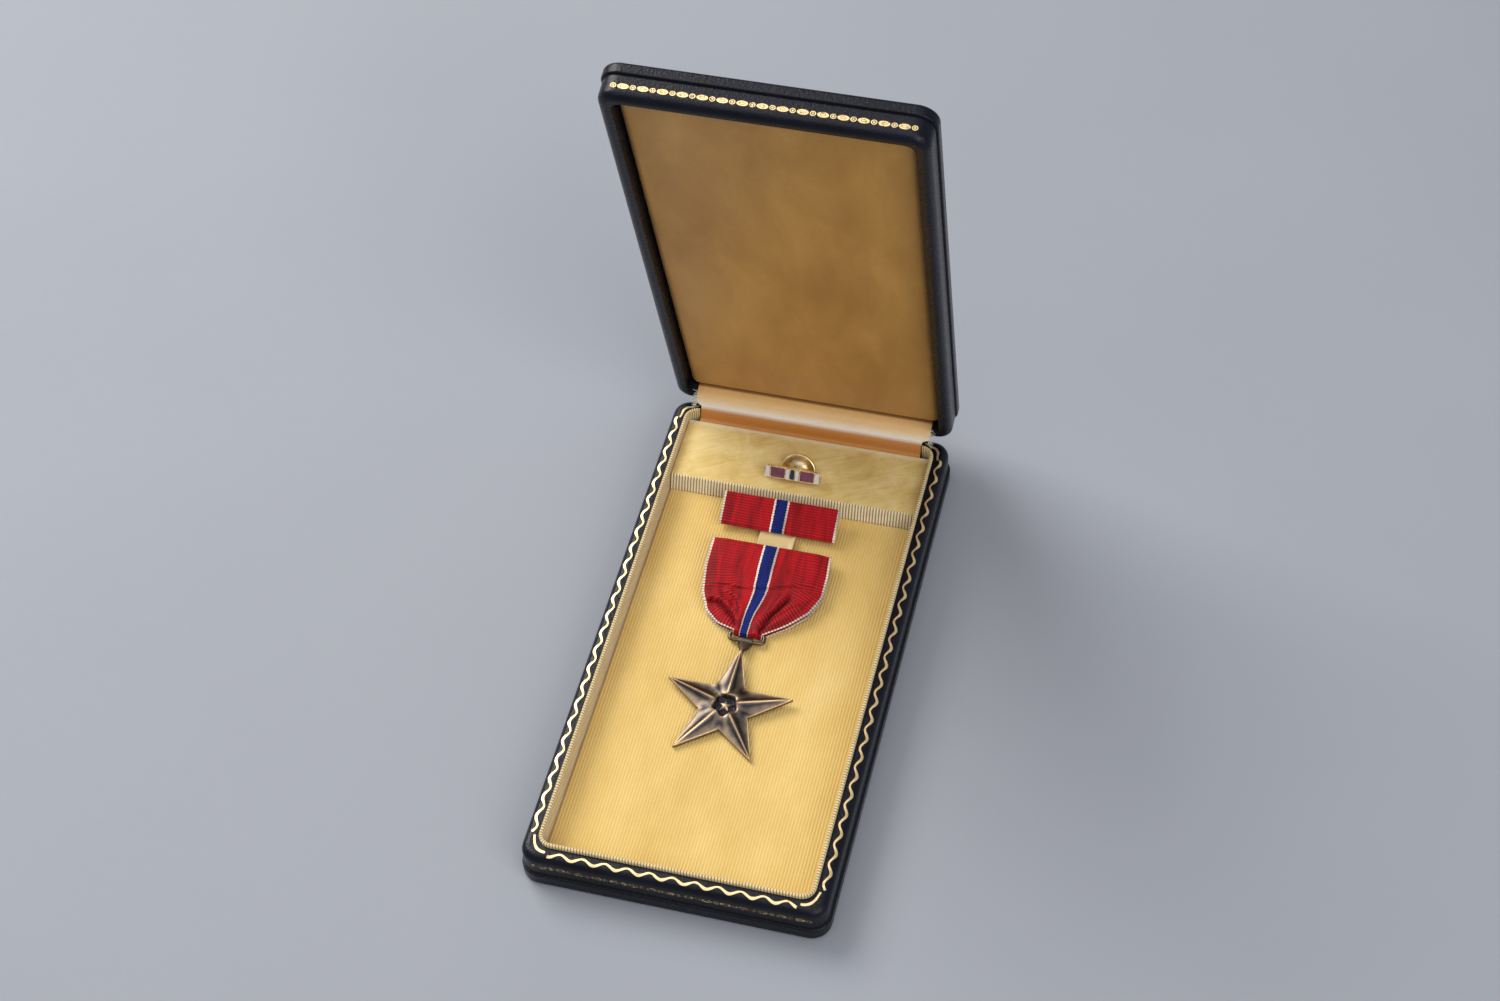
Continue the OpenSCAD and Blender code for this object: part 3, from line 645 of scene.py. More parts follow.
def wall_band(name, height, look, body, lid):
    """Row of ovals and ringed dots along the front wall; each is a ring of two rounds of points."""
    rounds, sides = [], 20
    turn = np.linspace(0, 2 * math.pi, sides, endpoint=False)
    for i in range(-8, 8):
        for shift, half_w, half_h, hole in BAND_SHAPES:
            centre = (i + shift) * BAND_PITCH
            if abs(centre) < BAND_END:
                rounds += [spread(centre + half_w * k * np.cos(turn), half_h * k * np.sin(turn))
                           for k in (1.0, hole)]
    flat = np.concatenate(rounds)
    faces = [face for start in range(0, len(flat), 2 * sides) for face in tube_faces(start, 2, sides)]
    points = spread(flat[:, 0], FRONT_WALL_Y - WALL_LEAF, height + flat[:, 1])
    piece = mesh_object(name, opened(points) if lid else points, faces)
    return place(piece, body, "gilt", look)


# ---- tray ----

def tray_cloth(look):
    """Cloth pulled over the floor card, rounded down at its edges and very slightly uneven."""
    half_w, half_l = WELL_X - COLLAR_T, (WELL_BACK - WELL_FRONT) / 2 - COLLAR_T
    x, y, inside = rounded_grid(half_w, half_l, WELL_R - COLLAR_T, 2, 0.2, 1.4)
    drop, uneven = 0.55 * (1 - crown(inside, 1.0)), 0.05 * wobble(x, y, 18) * ease(inside / 3)
    points = spread(x, y + WELL_Y, FLOOR_Z - drop + uneven - 0.05)
    piece = thicken(grid_object("tray_lining", points, spread(x, y)), 0.3)
    place(piece, "base", "tray_cloth", look, "tray_floor_cloth")
    return piece


def collar_section():
    """The collar's outline as (inwards, height) pairs: up its inner face, over, and down its outer one."""
    half, foot, straight = COLLAR_T / 2, FLOOR_Z - 1.4, 11.5
    top = [(half + half * math.cos(a), COLLAR_TOP - half + half * math.sin(a))
           for a in np.linspace(0, math.pi, 9)]
    return np.array([(COLLAR_T, z) for z in (foot, 7.5, 9.5, straight)] + top + [(0, straight), (0, foot)])


def collar_line():
    """Points and outward ways along the well, from the back left round the front to the back right."""
    bends = [(-FLAT_X, TURN_BACK), (-FLAT_X, TURN_FRONT), (FLAT_X, TURN_FRONT), (FLAT_X, TURN_BACK)]
    line, way = [], []
    for i, (centre, count) in enumerate(zip(bends, (0, 60, 30, 60))):
        angle = np.linspace(0, math.pi / 2, 9) + (i + 1) * math.pi / 2
        ways = spread(np.cos(angle), np.sin(angle))
        bend = centre + WELL_R * ways
        if line:  # the straight from the last bend to this one
            line += list(np.linspace(line[-1], bend[0], count)[1:-1])
            way += [way[-1]] * (count - 2)
        line += list(bend)
        way += list(ways)
    return np.array(line), np.array(way)


def collar(look):
    """Ribbed cloth over the collar that stands up round the tray."""
    section, (line, way) = collar_section(), collar_line()
    along, around = run(line), run(section)
    inwards, height = section.T
    xy = line[:, None] - way[:, None] * inwards[:, None]
    z = height + (height > 12) * 0.07 * wobble(along, 0 * along, 7, 3)[:, None]
    grid = np.concatenate([xy, z[..., None]], -1)
    piece = thicken(grid_object("collar_edging", grid, spread(along[:, None], around)), 0.25)
    place(piece, "base", "tray_cloth", look, "tray_collar")
    return piece


def riser_top(look):
    """Plush over the riser, crumpled where the lapel pin's disc goes through its slit."""
    half_w, slit_half_w, slit_half_l, crumpled_w = RISER_HALF_W, 5.75, 0.85, 5.6
    x, y = np.meshgrid(lines(-half_w, half_w, 2, 0.3, 0.42), lines(RISER_Y, RISER_BACK, 1, 0.2, 0.4))
    aside, behind = np.abs(x - DISC_C.x), y - SLIT_Y
    near = bell(np.hypot(np.maximum(aside - crumpled_w, 0), behind * 1.1), 2.6)
    folds = wobble(x * 0.55 + y * 0.5, y * 1.1 - x * 0.25, 1.5, 5) + 0.6 * wobble(x, y, 0.9, 9)
    lip = 0.35 * bell(behind, 0.9, 1.9) * (aside < 7.5)
    z = RISER_Z + near * (0.10 + 0.42 * folds) + lip * near + 0.06 * wobble(x, y, 7, 2)
    z = z - 0.5 * (1 - crown(np.minimum(y - RISER_Y, RISER_BACK - y), 0.7)) - 0.02
    slit = (aside < slit_half_w) & (np.abs(behind) < slit_half_l)
    cut = slit[:-1, :-1] & slit[:-1, 1:] & slit[1:, :-1] & slit[1:, 1:]
    points = spread(x, y, np.where(slit, z - 0.7, z))
    piece = grid_object("riser_plush", points, spread(x, y), lambda i, j: not cut[i, j])
    thicken(piece, 0.3)
    place(piece, "base", "plush", look, "riser_cover")
    return piece


def riser_band(look):
    """Ribbed cloth on the riser's front, turned in under the plush."""
    half_w, r, under = RISER_HALF_W, 0.5, RISER_Z - 0.38
    bend = [(RISER_Y + 0.35 - r * math.sin(a), RISER_Z - r + r * math.cos(a))
            for a in np.linspace(0, math.radians(66), 7)]
    foot = [(RISER_Y - RISER_RUN * k - 0.1, RISER_Z - (RISER_Z - FLOOR_Z) * k)
            for k in (0.3, 0.5, 0.7, 0.9, 1.0)]
    section = np.array([(RISER_Y + 5.8, under), (RISER_Y + 1.2, under)] + bend + foot)
    around = run(section)
    x = np.linspace(-half_w, half_w, 160)[:, None]
    y = section[:, 0] - 0.12 * wobble(x, 0 * x, 9, 4) * (around > 6)
    piece = thicken(grid_object("riser_edging", spread(x, y, section[:, 1]), spread(x, around)), 0.25)
    place(piece, "base", "tray_cloth", look, "riser_front_band")
    return piece


def strap(look):
    """Satin strap that comes out of the riser's front and runs under the ribbon bar and the ribbon."""
    path = np.array(STRAP)
    along = run(path)
    u, v = np.meshgrid(np.linspace(-5.6, 5.6, 24), along)
    y, z = path[:, :1], path[:, 1:]
    curl = 0.8 * ease((u - 3.4) / 1.8) + 0.3 * ease((-u - 4.4) / 1.0) + 0.16 * wobble(u, v, 3, 7)
    lift = curl * bell(y, 2.6, 38.8)
    grid = spread(CX + u - 0.35 * ease((u - 4.4) / 1.2), y, z + lift)
    piece = thicken(grid_object("strap_satin", grid, spread(u, v)), 0.22)
    smoothed(piece, 2)
    place(piece, "base", "satin", look, "tray_strap")
    return piece


# ---- lid ----

def pad_blank(x, y):
    """A flat closed cushion over a grid, 20 times life size, with its rim and its back held down."""
    size, depth = 0.02, 0.03
    rows, columns = x.shape
    count = rows * columns
    flat = spread(x * size, y * size, 0.0).reshape(-1, 3)
    order = np.arange(count).reshape(rows, columns)
    rim = np.concatenate([order[0], order[1:, -1], order[-1, -2::-1], order[-2:0:-1, 0]]).tolist()
    faces = grid_faces(rows, columns) + flipped(grid_faces(rows, columns, start=count))
    faces += [(a, a + count, b + count, b) for a, b in zip(rim, rim[1:] + rim[:1])]
    mesh = bpy.data.meshes.new("pad_blank")
    mesh.from_pydata(np.concatenate([flat, flat - np.array([0, 0, depth])]).tolist(), [], faces)
    blank = linked("pad_blank", mesh)
    held = blank.vertex_groups.new(name="held")
    held.add(rim + list(range(count, 2 * count)), 1.0, "REPLACE")
    return blank


def simulated_puff(x, y):
    """Heights of a sewn-down satin pad after it is blown up a little, from 0 at its edges to about 1."""
    blank, scene, frames = pad_blank(x, y), bpy.context.scene, 20
    cloth = blank.modifiers.new("cloth", "CLOTH").settings
    cloth.vertex_group_mass = "held"
    cloth.use_pressure = True
    cloth.uniform_pressure_force = 4.0
    cloth.shrink_min = -0.03
    cloth.tension_stiffness = cloth.compression_stiffness = 30
    cloth.effector_weights.gravity = 0.0
    cloth.quality = 6
    for step in range(1, frames + 1):
        scene.frame_set(step)
    done = blank.evaluated_get(bpy.context.evaluated_depsgraph_get()).data
    co = np.empty(len(done.vertices) * 3)
    done.vertices.foreach_get("co", co)
    scene.frame_set(1)
    bpy.data.objects.remove(blank)
    height = co.reshape(-1, 3)[:x.size, 2].reshape(x.shape)
    return height / max(np.percentile(height, 99), 1e-6)


def lid_lining(look):
    """Padded satin inside the lid: full, with its edges tucked in all round."""
    x, y, inside = rounded_grid(PAD_HALF_W, PAD_HALF_L, PAD_R, 3.2, 0.4, 1.7)
    puff = np.clip(simulated_puff(x, y), 0, 1.05)
    dimple = 0.10 * wobble(x * 1.6, y * 0.7, 16, 1) * ease(inside / 6)
    room = PAD_BACK - PAD_Z
    depth = (room - 0.25) * crown(inside, 2.2) + 0.38 * puff + dimple
    points = np.stack([spread(x, y, PAD_BACK - np.minimum(depth, room + 0.12)),
                       spread(x, y, LID_TOP - 0.9)]).reshape(-1, 3)
    rows, columns = x.shape
    faces = flipped(grid_faces(rows, columns)) + grid_faces(rows, columns, start=rows * columns)
    piece = mesh_object("lid_lining", opened(points), faces, points[:, :2])
    place(piece, "lid", "satin", look, "lid_pad")
    return piece


def gusset_section():
    """The gusset's smooth middle line: y, z and the distance along it."""
    line, along = resampled(np.array(GUSSET), 46)
    return (*relaxed(line, 6).T, along)


def frayed_threads():
    """Short loose threads at both ends of the satin, as thin three-sided tubes."""
    count, first, pitch, length, sides = 30, 5.4, 0.16, 2.6, 3
    points, faces = [], []
    y, z, along = gusset_section()
    for side in (-1, 1):
        for i in range(count):
            at_y, at_z = (np.interp(first + pitch * i, along, part) for part in (y, z))
            start = Vector((side * (GUSSET_HALF_W + 1.8), at_y, at_z))
            lean = Vector((side * (0.5 + 0.25 * math.sin(3.1 * i)), 0.55 * math.sin(2.3 * i + side),
                           0.35 * math.cos(1.7 * i)))
            faces += tube_faces(len(points), 6, sides)
            for t in (0, 0.2, 0.4, 0.6, 0.8, 1):
                sag = -0.5 * t * t + 0.15 * math.sin(5 * t + i)
                spot = start + lean * (length * t) + Vector((0, 0, sag))
                for corner in range(sides):
                    a = corner * 2 * math.pi / sides
                    points.append(spot + Vector((0, math.cos(a), math.sin(a))) * (0.12 - 0.05 * t))
    return np.array([tuple(p) for p in points]), faces


def gusset(look, thread_look):
    """Satin strip that hides the hinge, laid as it lies with the lid open."""
    half_w = GUSSET_HALF_W
    y, z, along = gusset_section()
    u, v = np.meshgrid(np.linspace(-half_w, half_w, 150), along)
    end = ease((np.abs(u) - half_w + 4) / 4)
    ripple = 0.12 * wobble(u, v * 0.4, 6, 8) + 0.2 * end * wobble(u * 1.6, v, 1.7, 6)
    flare = 1 + 0.06 * ease((v - 5.5) / 1.5)
    grid = spread(u * flare, y[:, None] - 0.15 * ripple, z[:, None] + ripple * ease(v / 2))
    piece = thicken(grid_object("gusset_satin", grid, spread(v, u)), 0.2)
    place(piece, None, "satin", look, "hinge_gusset")
    points, faces = frayed_threads()
    threads = mesh_object("gusset_threads", points, faces, np.zeros((len(points), 2)))
    place(threads, None, "satin", thread_look)
    for obj in (piece, threads):
        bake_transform(obj)
    return piece


# ---- medal ----

def outline_at(points, count):
    """Smooth evenly spaced line along (x, y) points."""
    fine = resampled(np.array(points, float), 400)[0]
    return resampled(relaxed(fine, 110), count)[0]


def sheet_height(y, front):
    """Height of the ribbon's front or back layer along the medal."""
    at = [FOLD_Y, 10, 16, 22, 28, 31]
    top = [PIVOT_Z + FOLD_R - 0.4, 9.1, 9.6, 10.0, 10.5, 10.85]
    low = [PIVOT_Z - FOLD_R + 0.15, 7.2, 7.9, 8.6, 9.2, 9.3]
    return np.interp(y, at, top if front else low)


def drape_layer(front, rows, columns):
    """One layer of the gathered ribbon: flaps that turn along both edges, and a straight middle."""
    u, t = np.linspace(-RIBBON_W / 2, RIBBON_W / 2, columns), np.linspace(0, 1, rows)[:, None]
    middle_y = DRAPE_TOP + (FOLD_Y - DRAPE_TOP) * t
    middle_x = CX + np.interp(middle_y, *zip(*SWAY))
    narrow, squeeze = 1 - 0.42 * ease((t - 0.35) / 0.65), 1 - 0.42 * ease((t - 0.55) / 0.45)
    square_share, crush = 1 - ease(t / 0.42), ease((t - 0.3) / 0.4)
    points, flaps = np.empty((rows, columns, 3)), np.zeros((rows, columns))
    for outline, sign in ((LEFT_EDGE, -1), (RIGHT_EDGE, 1)):
        half = u * sign >= 0
        away, edge = np.abs(u[half]), outline_at(outline, rows)
        way = np.gradient(edge, axis=0)
        way /= np.linalg.norm(way, axis=1)[:, None]
        inward = spread(-way[:, 1], way[:, 0]) * -sign
        reach = (RIBBON_W / 2 - away) * squeeze
        flap = edge[:, None] + inward[:, None] * reach[..., None]
        straight = spread(middle_x + u[half] * narrow, middle_y)
        square = spread(middle_x + (edge[:, :1] - middle_x) * away / (RIBBON_W / 2), edge[:, 1:])
        turn = ease((away - 5.0 + 1.5 * t) / 5.5)
        low = straight + (flap - straight) * turn[..., None]
        blend = square_share[..., None]
        points[:, half, :2] = square * blend + low * (1 - blend)
        flaps[:, half] = turn * (1 - square_share)
        valley = bell(away, 2.0, 7.6) * crush
        points[:, half, 2] = -0.25 * valley - 0.5 * ease((away - 13) / 4.5)
    points[..., 2] = sheet_height(points[..., 1], front) + points[..., 2] * (1.0 if front else 0.25)
    return points, u, flaps


def crease(x, y, line, lift, drop, reach):
    """Height of a fold along a line: raised on its left, sunk on its right, fading out at both ends."""
    line = np.array(line, float)
    far = run(line)
    nearest, side, along = np.full(x.shape, 1e9), np.zeros(x.shape), np.zeros(x.shape)
    for (ax, ay), (bx, by), start in zip(line, line[1:], far):
        dx, dy = bx - ax, by - ay
        share = np.clip(((x - ax) * dx + (y - ay) * dy) / (dx * dx + dy * dy), 0, 1)
        away = np.hypot(x - ax - share * dx, y - ay - share * dy)
        closer = away < nearest
        nearest = np.where(closer, away, nearest)
        side = np.where(closer, np.sign(dx * (y - ay) - dy * (x - ax)), side)
        along = np.where(closer, start + share * math.hypot(dx, dy), along)
    fade = ease(along / far[-1] * 5) * ease((1 - along / far[-1]) * 5)
    return np.where(side > 0, lift, -drop) * np.tanh(nearest / 0.2) * bell(nearest, reach) * fade


def pleats(points):
    """The soft step across the ribbon and the folds that run from it to the loop, and the painted shade in
    their sunk sides.
    """
    x, y = points[..., 0], points[..., 1]
    z = sum(crease(x, y, *fold) for fold in CREASES)
    z += 0.14 * wobble(x, y * 0.8, 3.2, 11) * ease((22 - y) / 4)
    z *= ease((y - FOLD_Y) / 2.5)
    points[..., 2] += z
    # Painted shade: the deeper the cloth sinks in a crease, the darker it is painted.
    return points, 0.75 * ease((-z - 0.15) / 0.8)


def rolled(first, last, turns):
    """Rows of points round a fold from one row to another, and how far each row stands out."""
    angle = np.linspace(0, math.pi, turns + 2)[1:-1, None]
    share = ((1 - np.cos(angle)) / 2)[..., None]
    return first * (1 - share) + last * share, np.sin(angle)


def drape(look):
    """The folded ribbon: front layer, a fold round the loop's bar, back layer and the top edge."""
    rows, columns, fold_rows, top_rows = 120, 141, 7, 5
    front, u, flaps = drape_layer(True, rows, columns)
    front, deep = pleats(front)
    back = drape_layer(False, rows, columns)[0]
    fold, bulge = rolled(front[-1], back[-1], fold_rows)
    fold[..., 1] = FOLD_Y - (FOLD_R - 0.4) * bulge
    top, bulge = rolled(back[0], front[0], top_rows)
    top[..., 1] += 0.45 * bulge
    grid = np.concatenate([front, fold, back[::-1], top, front[:1]])
    drop = 30.0
    v = np.concatenate([np.linspace(0, drop, rows), drop + np.linspace(0.3, 2.7, fold_rows),
                        drop + 3 + np.linspace(0, drop, rows),
                        2 * drop + 3 + np.linspace(0.2, 0.8, top_rows), [2 * drop + 4]])
    shades = {key: np.zeros(grid.shape[:2]) for key in ("fold", "flap")}
    # The front layer's painted crease shade goes in as fold. Its flap share goes in as flap and deepens the
    # painted shade in the rib gaps.
    shades["fold"][:rows], shades["flap"][:rows] = deep, flaps
    piece = grid_object("medal_ribbon_cloth", grid, spread(u, v[:, None]), values=shades)
    thicken(piece, 0.3)
    place(piece, "medal_ribbon", "ribbon", look, "ribbon_drape")
    return piece


def star_relief(a, b):
    """Height, rubbed share and dark share of the star at (a along an arm's ridge, b beside it)."""
    corner_a, corner_b = (STAR_R * STAR_CORNER * part for part in (math.cos(HALF_ARM), math.sin(HALF_ARM)))
    taper = corner_b / (STAR_R - corner_a)
    side = np.maximum(np.minimum((STAR_R - a) * taper, a * math.tan(HALF_ARM)), 1e-3)
    across = np.clip(np.abs(b) / side, 0, 1)
    r, edge = np.hypot(a, b), STAR_EDGE_Z
    # The arms: a ridge that falls towards the tip, scooped sides, and banks where two arms meet
    ridge = edge + 0.25 + 1.35 * (1 - np.clip((a - CUP_R) / (STAR_R - CUP_R), 0, 1)) ** 0.8
    scoop = (1 - across) ** 2.1 * 0.78 + 0.22 * (1 - across)
    bank = 0.75 * ease((corner_a + 1.0 - a) / 3.4)
    height = edge + (ridge - edge) * scoop + bank * (1 - scoop) + 0.10 * across ** 8
    # The sunk middle
    cup = ease((CUP_R + 0.75 * across - r) / 0.6)
    height = height * (1 - cup) + (edge - 0.25) * cup
    # Rubbed bright: the ridges, the middle's lip, and the outline
    crest = bell(b, 0.28) * ease((r - 3.2) / 1.0)
    lip = 0.35 * bell(r - 3.3 - 0.75 * across, 0.25)
    border = 0.4 * bell((1 - across) * side, 0.22) * (a > corner_a - 1)
    outer = 0.10 * ease((across - 0.45) / 0.4) * (a > corner_a)
    rubbed = np.clip(crest + lip + border + outer, 0, 1)
    # Dirty: beside the ridges, between the arms, and in the middle
    beside = 0.85 * bell(across, 0.17, 0.26) * ease((r - 3.5) / 2)
    between = 0.92 * bell(r, 1.5, 6.0) * ease((across - 0.45) / 0.45)
    dirty = np.maximum(np.maximum(beside, between), cup * 0.97) * (1 - crest)
    return height, rubbed, np.clip(dirty, 0, 1)


def star_sector(arm, sign, across_n, out_n):
    """Half an arm: points from the middle to the outline and down its side wall, rubbed and dark shares."""
    tip = np.array([STAR_R - 0.05, 0.0])
    inner = STAR_R * STAR_CORNER * np.array([math.cos(HALF_ARM), math.sin(HALF_ARM)])
    rim = tip + (inner - tip) * (np.linspace(0, 1, across_n) ** 1.5)[:, None]
    plan = rim[:, None] * (np.linspace(0, 1, out_n) ** 0.85)[:, None]
    out, *wall = STAR_WALL
    z, wear, dark = (np.concatenate([top, np.tile(side, (across_n, 1))], 1)
                     for top, side in zip(star_relief(plan[..., 0], plan[..., 1]), wall))
    a, b = np.moveaxis(np.concatenate([plan, rim[:, None] * out[:, None]], 1), -1, 0)
    angle = math.radians(90 + 72 * arm)
    x = a * math.cos(angle) - sign * b * math.sin(angle)
    y = a * math.sin(angle) + sign * b * math.cos(angle)
    return spread(x, y, z), wear, dark


def star_ring(tip, corner, z):
    """The ten points of a star's outline, from its top point round to the left."""
    turns = [(corner if i % 2 else tip, math.radians(90 + 36 * i)) for i in range(10)]
    return [(r * math.cos(a), r * math.sin(a), z) for r, a in turns]


def small_star(start):
    """The small raised star in the middle, as ten sloping faces over a low wall."""
    points = [(0, 0, 2.05)] + star_ring(2.5, 1.0, 1.15) + star_ring(2.5 * 1.03, 1.03, 0.7)
    faces = []
    for i in range(10):
        a, b = start + 1 + i, start + 1 + (i + 1) % 10
        faces += [(start, a, b), (a, a + 10, b + 10, b)]
    return points, faces


def star(look):
    """Five-armed star with a ridge down each arm, scooped sides and a sunk middle."""
    points, faces, wear, dark = [], [], [], []
    for arm in range(5):
        for sign in (-1, 1):
            sector, w, d = star_sector(arm, sign, 22, 64)
            new = grid_faces(*sector.shape[:2], start=len(points))
            faces += new if sign < 0 else flipped(new)
            points += sector.reshape(-1, 3).tolist()
            wear += w.ravel().tolist()
            dark += d.ravel().tolist()
    more, quads = small_star(len(points))
    under = len(points) + len(more)
    points += more + star_ring(STAR_R, STAR_R * STAR_CORNER, 0.0) + [(0, 0, 0)]
    faces += quads + [(under + 10, under + (i + 1) % 10, under + i) for i in range(10)]
    wear += [0.75] + [0.35] * 10 + [0.0] * 10 + [0.15] * 11
    dark += [0.0] + [0.1] * 10 + [0.9] * 10 + [0.1] * 11
    add_neck(points, faces, wear, dark)
    points = tilted(points, Vector((CX, STAR_Y, STAR_BACK)), STAR_TILT)
    piece = mesh_object("star_body", points, faces, values={"wear": wear, "dark": dark})
    welded(piece)
    return place(piece, "medal_star", "bronze", look, "star")


def add_neck(points, faces, wear, dark):
    """Tapered neck from the star's upper arm to its sleeve, in the star's own frame."""
    faces += tube_faces(len(points), 4, 6)
    y0, y1 = STAR_R - 3.6, PIVOT_Y - STAR_Y - 0.65
    for share, half, middle in ((0, 0.45, 0.75), (0.5, 0.6, 0.3), (0.72, 1.6, -0.45), (1, 1.85, -1.3)):
        y, low, top = y0 + (y1 - y0) * share, middle - 0.55, middle + 0.6
        for x, height in ((-half, low), (-half, top - 0.3), (-half * 0.6, top), (half * 0.6, top),
                          (half, top - 0.3), (half, low)):
            points.append((x, y, height))
            wear.append(0.2 if abs(x) < half else 0.05)
            dark.append(0.45 if abs(x) < half else 0.7)


# ---- ribbon bar ----

def bar_ribbon(look):
    """Ribbon wrapped round the bar's plate, with turned-in long edges at the back."""
    half_h, r, turns = BAR_H / 2, 0.45, np.linspace(0, math.pi / 2, 6)
    edge = [(-half_h + 3.4, -BAR_T), (-half_h + 1.0, -BAR_T)]
    edge += [(-half_h + r - r * math.sin(a), -BAR_T + r - r * math.cos(a)) for a in turns]
    edge += [(-half_h + r - r * math.cos(a), -r + r * math.sin(a)) for a in turns]
    face = [(y, 0.0) for y in np.linspace(-half_h + 1.2, half_h - 1.2, 11)]
    section = np.array(edge + face + [(-y, z) for y, z in reversed(edge)])
    around = run(section)
    u, v = np.meshgrid(np.linspace(-RIBBON_W / 2, RIBBON_W / 2, 90), around)
    lift = 0.05 * wobble(u, v, 5, 13) * (section[:, 1:] > -0.1)
    local = spread(u, section[:, :1], section[:, 1:] + lift)
    piece = grid_object("bar_ribbon_cloth", tilted(local, BAR_C, BAR_TILT), spread(u, v),
                        values={"fold": 0 * u, "flap": 0 * u})
    thicken(piece, 0.28, 1.0)
    place(piece, "ribbon_bar", "ribbon", look, "bar_ribbon")
    return piece


# ---- lapel pin ----

def lapel_button(look):
    """Pressed disc behind the lapel pin's bar: a rolled rim, a groove and a domed middle."""
    around = np.array([[(r * math.cos(a), r * math.sin(a), z) for r, z in BUTTON]
                       for a in np.linspace(0, 2 * math.pi, 73)])
    piece = mesh_object("lapel_button", tilted(around.reshape(-1, 3), DISC_C, LAPEL_TILT),
                        grid_faces(*around.shape[:2]))
    welded(piece)
    smoothed(piece, 1)
    return place(piece, "lapel_pin", "gilt", look, "lapel_disc")


def cell_wires(look):
    """Gilt wires that stand a little proud round the enamel cells of the lapel pin's bar."""
    half_h, bend, wide, proud, rings, sides = 1.66, 0.25, 0.18, 0.14, 12, 8
    points, faces = [], []
    for centre, width in CELLS:
        half_w = width / 2 + 0.13
        faces += [(a, d, c, b) for a, b, c, d in tube_faces(len(points), rings, sides, True)]
        for step in range(rings):
            corner, angle = step // 3, math.pi / 2 * (step // 3) + math.pi / 4 * (step % 3)
            sign_x, sign_y = ((1, 1), (-1, 1), (-1, -1), (1, -1))[corner]
            out = np.array([math.cos(angle), math.sin(angle), 0.0])
            middle = np.array([LAPEL_CX + centre + sign_x * (half_w - bend), sign_y * (half_h - bend),
                               LAPEL_FACE_Z]) + bend * out
            for turn in (2 * math.pi * k / sides for k in range(sides)):
                up = np.array([0, 0, proud * math.sin(turn)])
                points.append(middle + wide * math.cos(turn) * out + up)
    piece = mesh_object("cell_wires", tilted(points, DISC_C, LAPEL_TILT), faces)
    return place(piece, "lapel_pin", "gilt", look)


# ---- stage ----

def floor():
    """A plain pale floor under the case, 6 m square."""
    look = Look("floor", {"Specular IOR Level": 0.3})
    place_mm = look.object_mm()
    tone = look.noise(place_mm, 0.01, 3.0)
    look.colour(look.ramp(tone, [(0.3, (0.305, 0.32, 0.355)), (0.7, (0.315, 0.33, 0.365))]))
    look.roughness(look.noise(place_mm, 0.3, 4.0), 0.6, 0.75)
    mesh = bpy.data.meshes.new("floor")
    far = 3
    mesh.from_pydata([(-far, -far, 0), (far, -far, 0), (far, far, 0), (-far, far, 0)], [], [(0, 1, 2, 3)])
    mesh.materials.append(look.relief(look.noise(place_mm, 0.6, 3.0), 0.02).made)
    linked("floor", mesh)


def area_light(name, spot, target, size, power, colour):
    """A soft lamp at spot that faces target; size is its width and height in metres."""
    data = bpy.data.lights.new(name, "AREA")
    data.shape, data.size, data.size_y = "RECTANGLE", size[0], size[1]
    data.energy, data.color = power, colour
    lamp = linked(name, data)
    lamp.location = spot
    lamp.rotation_mode = "QUATERNION"
    lamp.rotation_quaternion = (Vector(target) - Vector(spot)).to_track_quat("-Z", "Y")


def lights():
    """A window at the back left, a fill at the front right, a weak top light and a pale sky."""
    area_light("window", (-0.9, 0.55, 1.0), (0, 0.02, 0.03), (0.95, 0.75), 18.5, (1.0, 0.98, 0.95))
    area_light("fill", (0.9, -0.7, 0.9), (0, 0, 0.03), (0.9, 0.9), 8.5, (1.0, 0.98, 0.96))
    area_light("top", (0.0, -0.1, 1.3), (0, 0, 0), (1.2, 1.2), 5, (1.0, 1.0, 1.0))
    bpy.context.scene.view_settings.view_transform = "Standard"
    world = bpy.data.worlds.new("studio")
    world.use_nodes = True
    background = world.node_tree.nodes["Background"]
    background.inputs["Color"].default_value = (0.86, 0.90, 1.0, 1.0)
    background.inputs["Strength"].default_value = 0.33
    bpy.context.scene.world = world


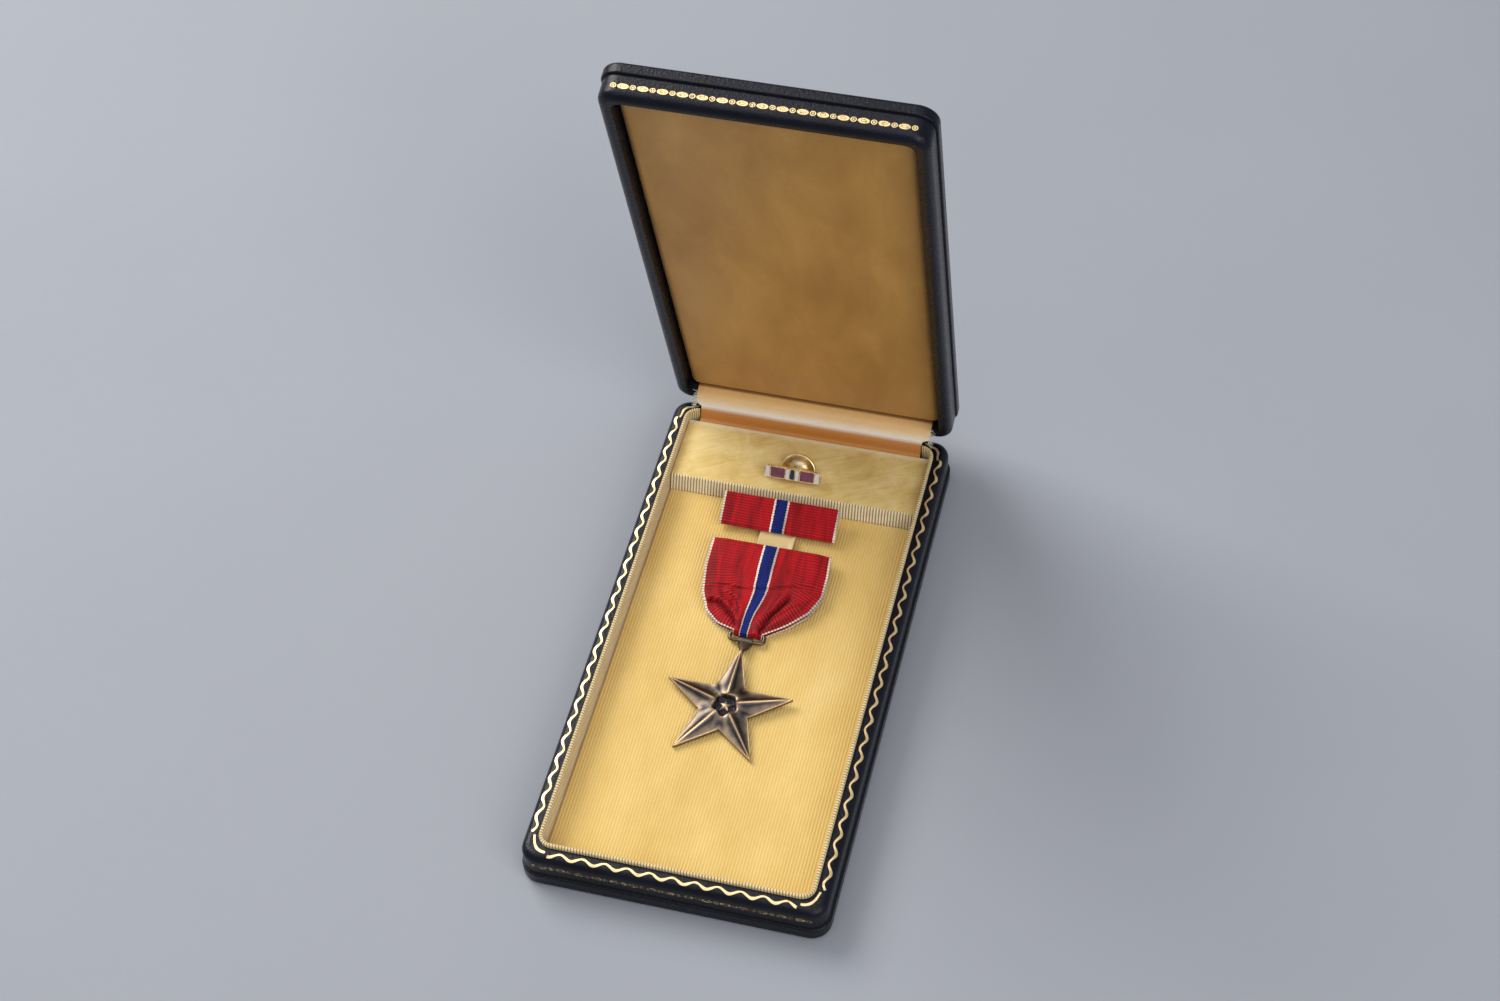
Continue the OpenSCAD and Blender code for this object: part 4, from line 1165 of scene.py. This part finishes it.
def camera():
    """Viewpoint from the front right, above, slightly rolled."""
    right, up = Vector((0.967638, 0.247789, -0.047710)), Vector((-0.167684, 0.772700, 0.612222))
    place_m = (0.131524, -0.393963, 0.609397)
    data = bpy.data.cameras.new("camera")
    data.lens, data.sensor_width = 61.34, 36.0
    data.clip_start, data.clip_end = 0.01, 20
    eye = linked("camera", data)
    turn = Matrix((right, up, right.cross(up))).transposed().to_4x4()
    eye.matrix_world = Matrix.Translation(place_m) @ turn
    bpy.context.scene.camera = eye


# ---- the object ----

dress_cad_nodes()
rim_tooling(gold_leaf(0.0))
wall_band("lid_wall_tooling", 16.3, gold_leaf(0.25), "lid", True)
wall_band("base_wall_tooling", 8.9, gold_leaf(0.75), "base", False)

cream_edging = ribbed_edging("cream_edging", (0.88, 0.71, 0.38), (0.34, 0.23, 0.09), 0.85)
tray_cloth(tray_weave())
collar(cream_edging)
riser_top(plush())
riser_band(ribbed_edging("riser_edging", (1.0, 0.86, 0.58), (0.30, 0.22, 0.11), 0.9))
strap(satin("strap_satin", (0.66, 0.47, 0.19), (0.86, 0.70, 0.40)))

lid_lining(satin("lid_satin", (0.42, 0.20, 0.038), (0.60, 0.325, 0.078), 0.15))
# The gusset's tones at distances in mm from the riser: painted shade down in the fold, a painted highlight
# on the bright middle, the satin's own tones, then a painted shadow at the seam and on to the lid
shade_and_highlight_tones = [(0.0, (0.70, 0.30, 0.045)), (2.0, (0.46, 0.145, 0.008)), (4.6, (0.56, 0.19, 0.012)),
              (5.9, (1.0, 0.97, 0.88)), (7.0, (1.0, 0.80, 0.52)), (8.8, (0.93, 0.62, 0.29)),
              (11.9, (0.86, 0.52, 0.18)), (12.5, (0.24, 0.11, 0.03)), (14.4, (0.2, 0.09, 0.02))]
gusset(satin("gusset_satin", (0.70, 0.42, 0.16), (0.84, 0.56, 0.26), 0.25, shade_and_highlight_tones),
       satin("thread", (0.9, 0.86, 0.75), (1.0, 0.97, 0.88)))

ribbon = ribbon_cloth()
drape(ribbon)
bar_ribbon(ribbon)
button_gilt = metal("button_gilt", (1.0, 0.80, 0.45), 0.22, 0.36, 0.01)
lapel_button(button_gilt)
cell_wires(button_gilt)
star(bronze("star_bronze", True))

floor()
lights()
camera()
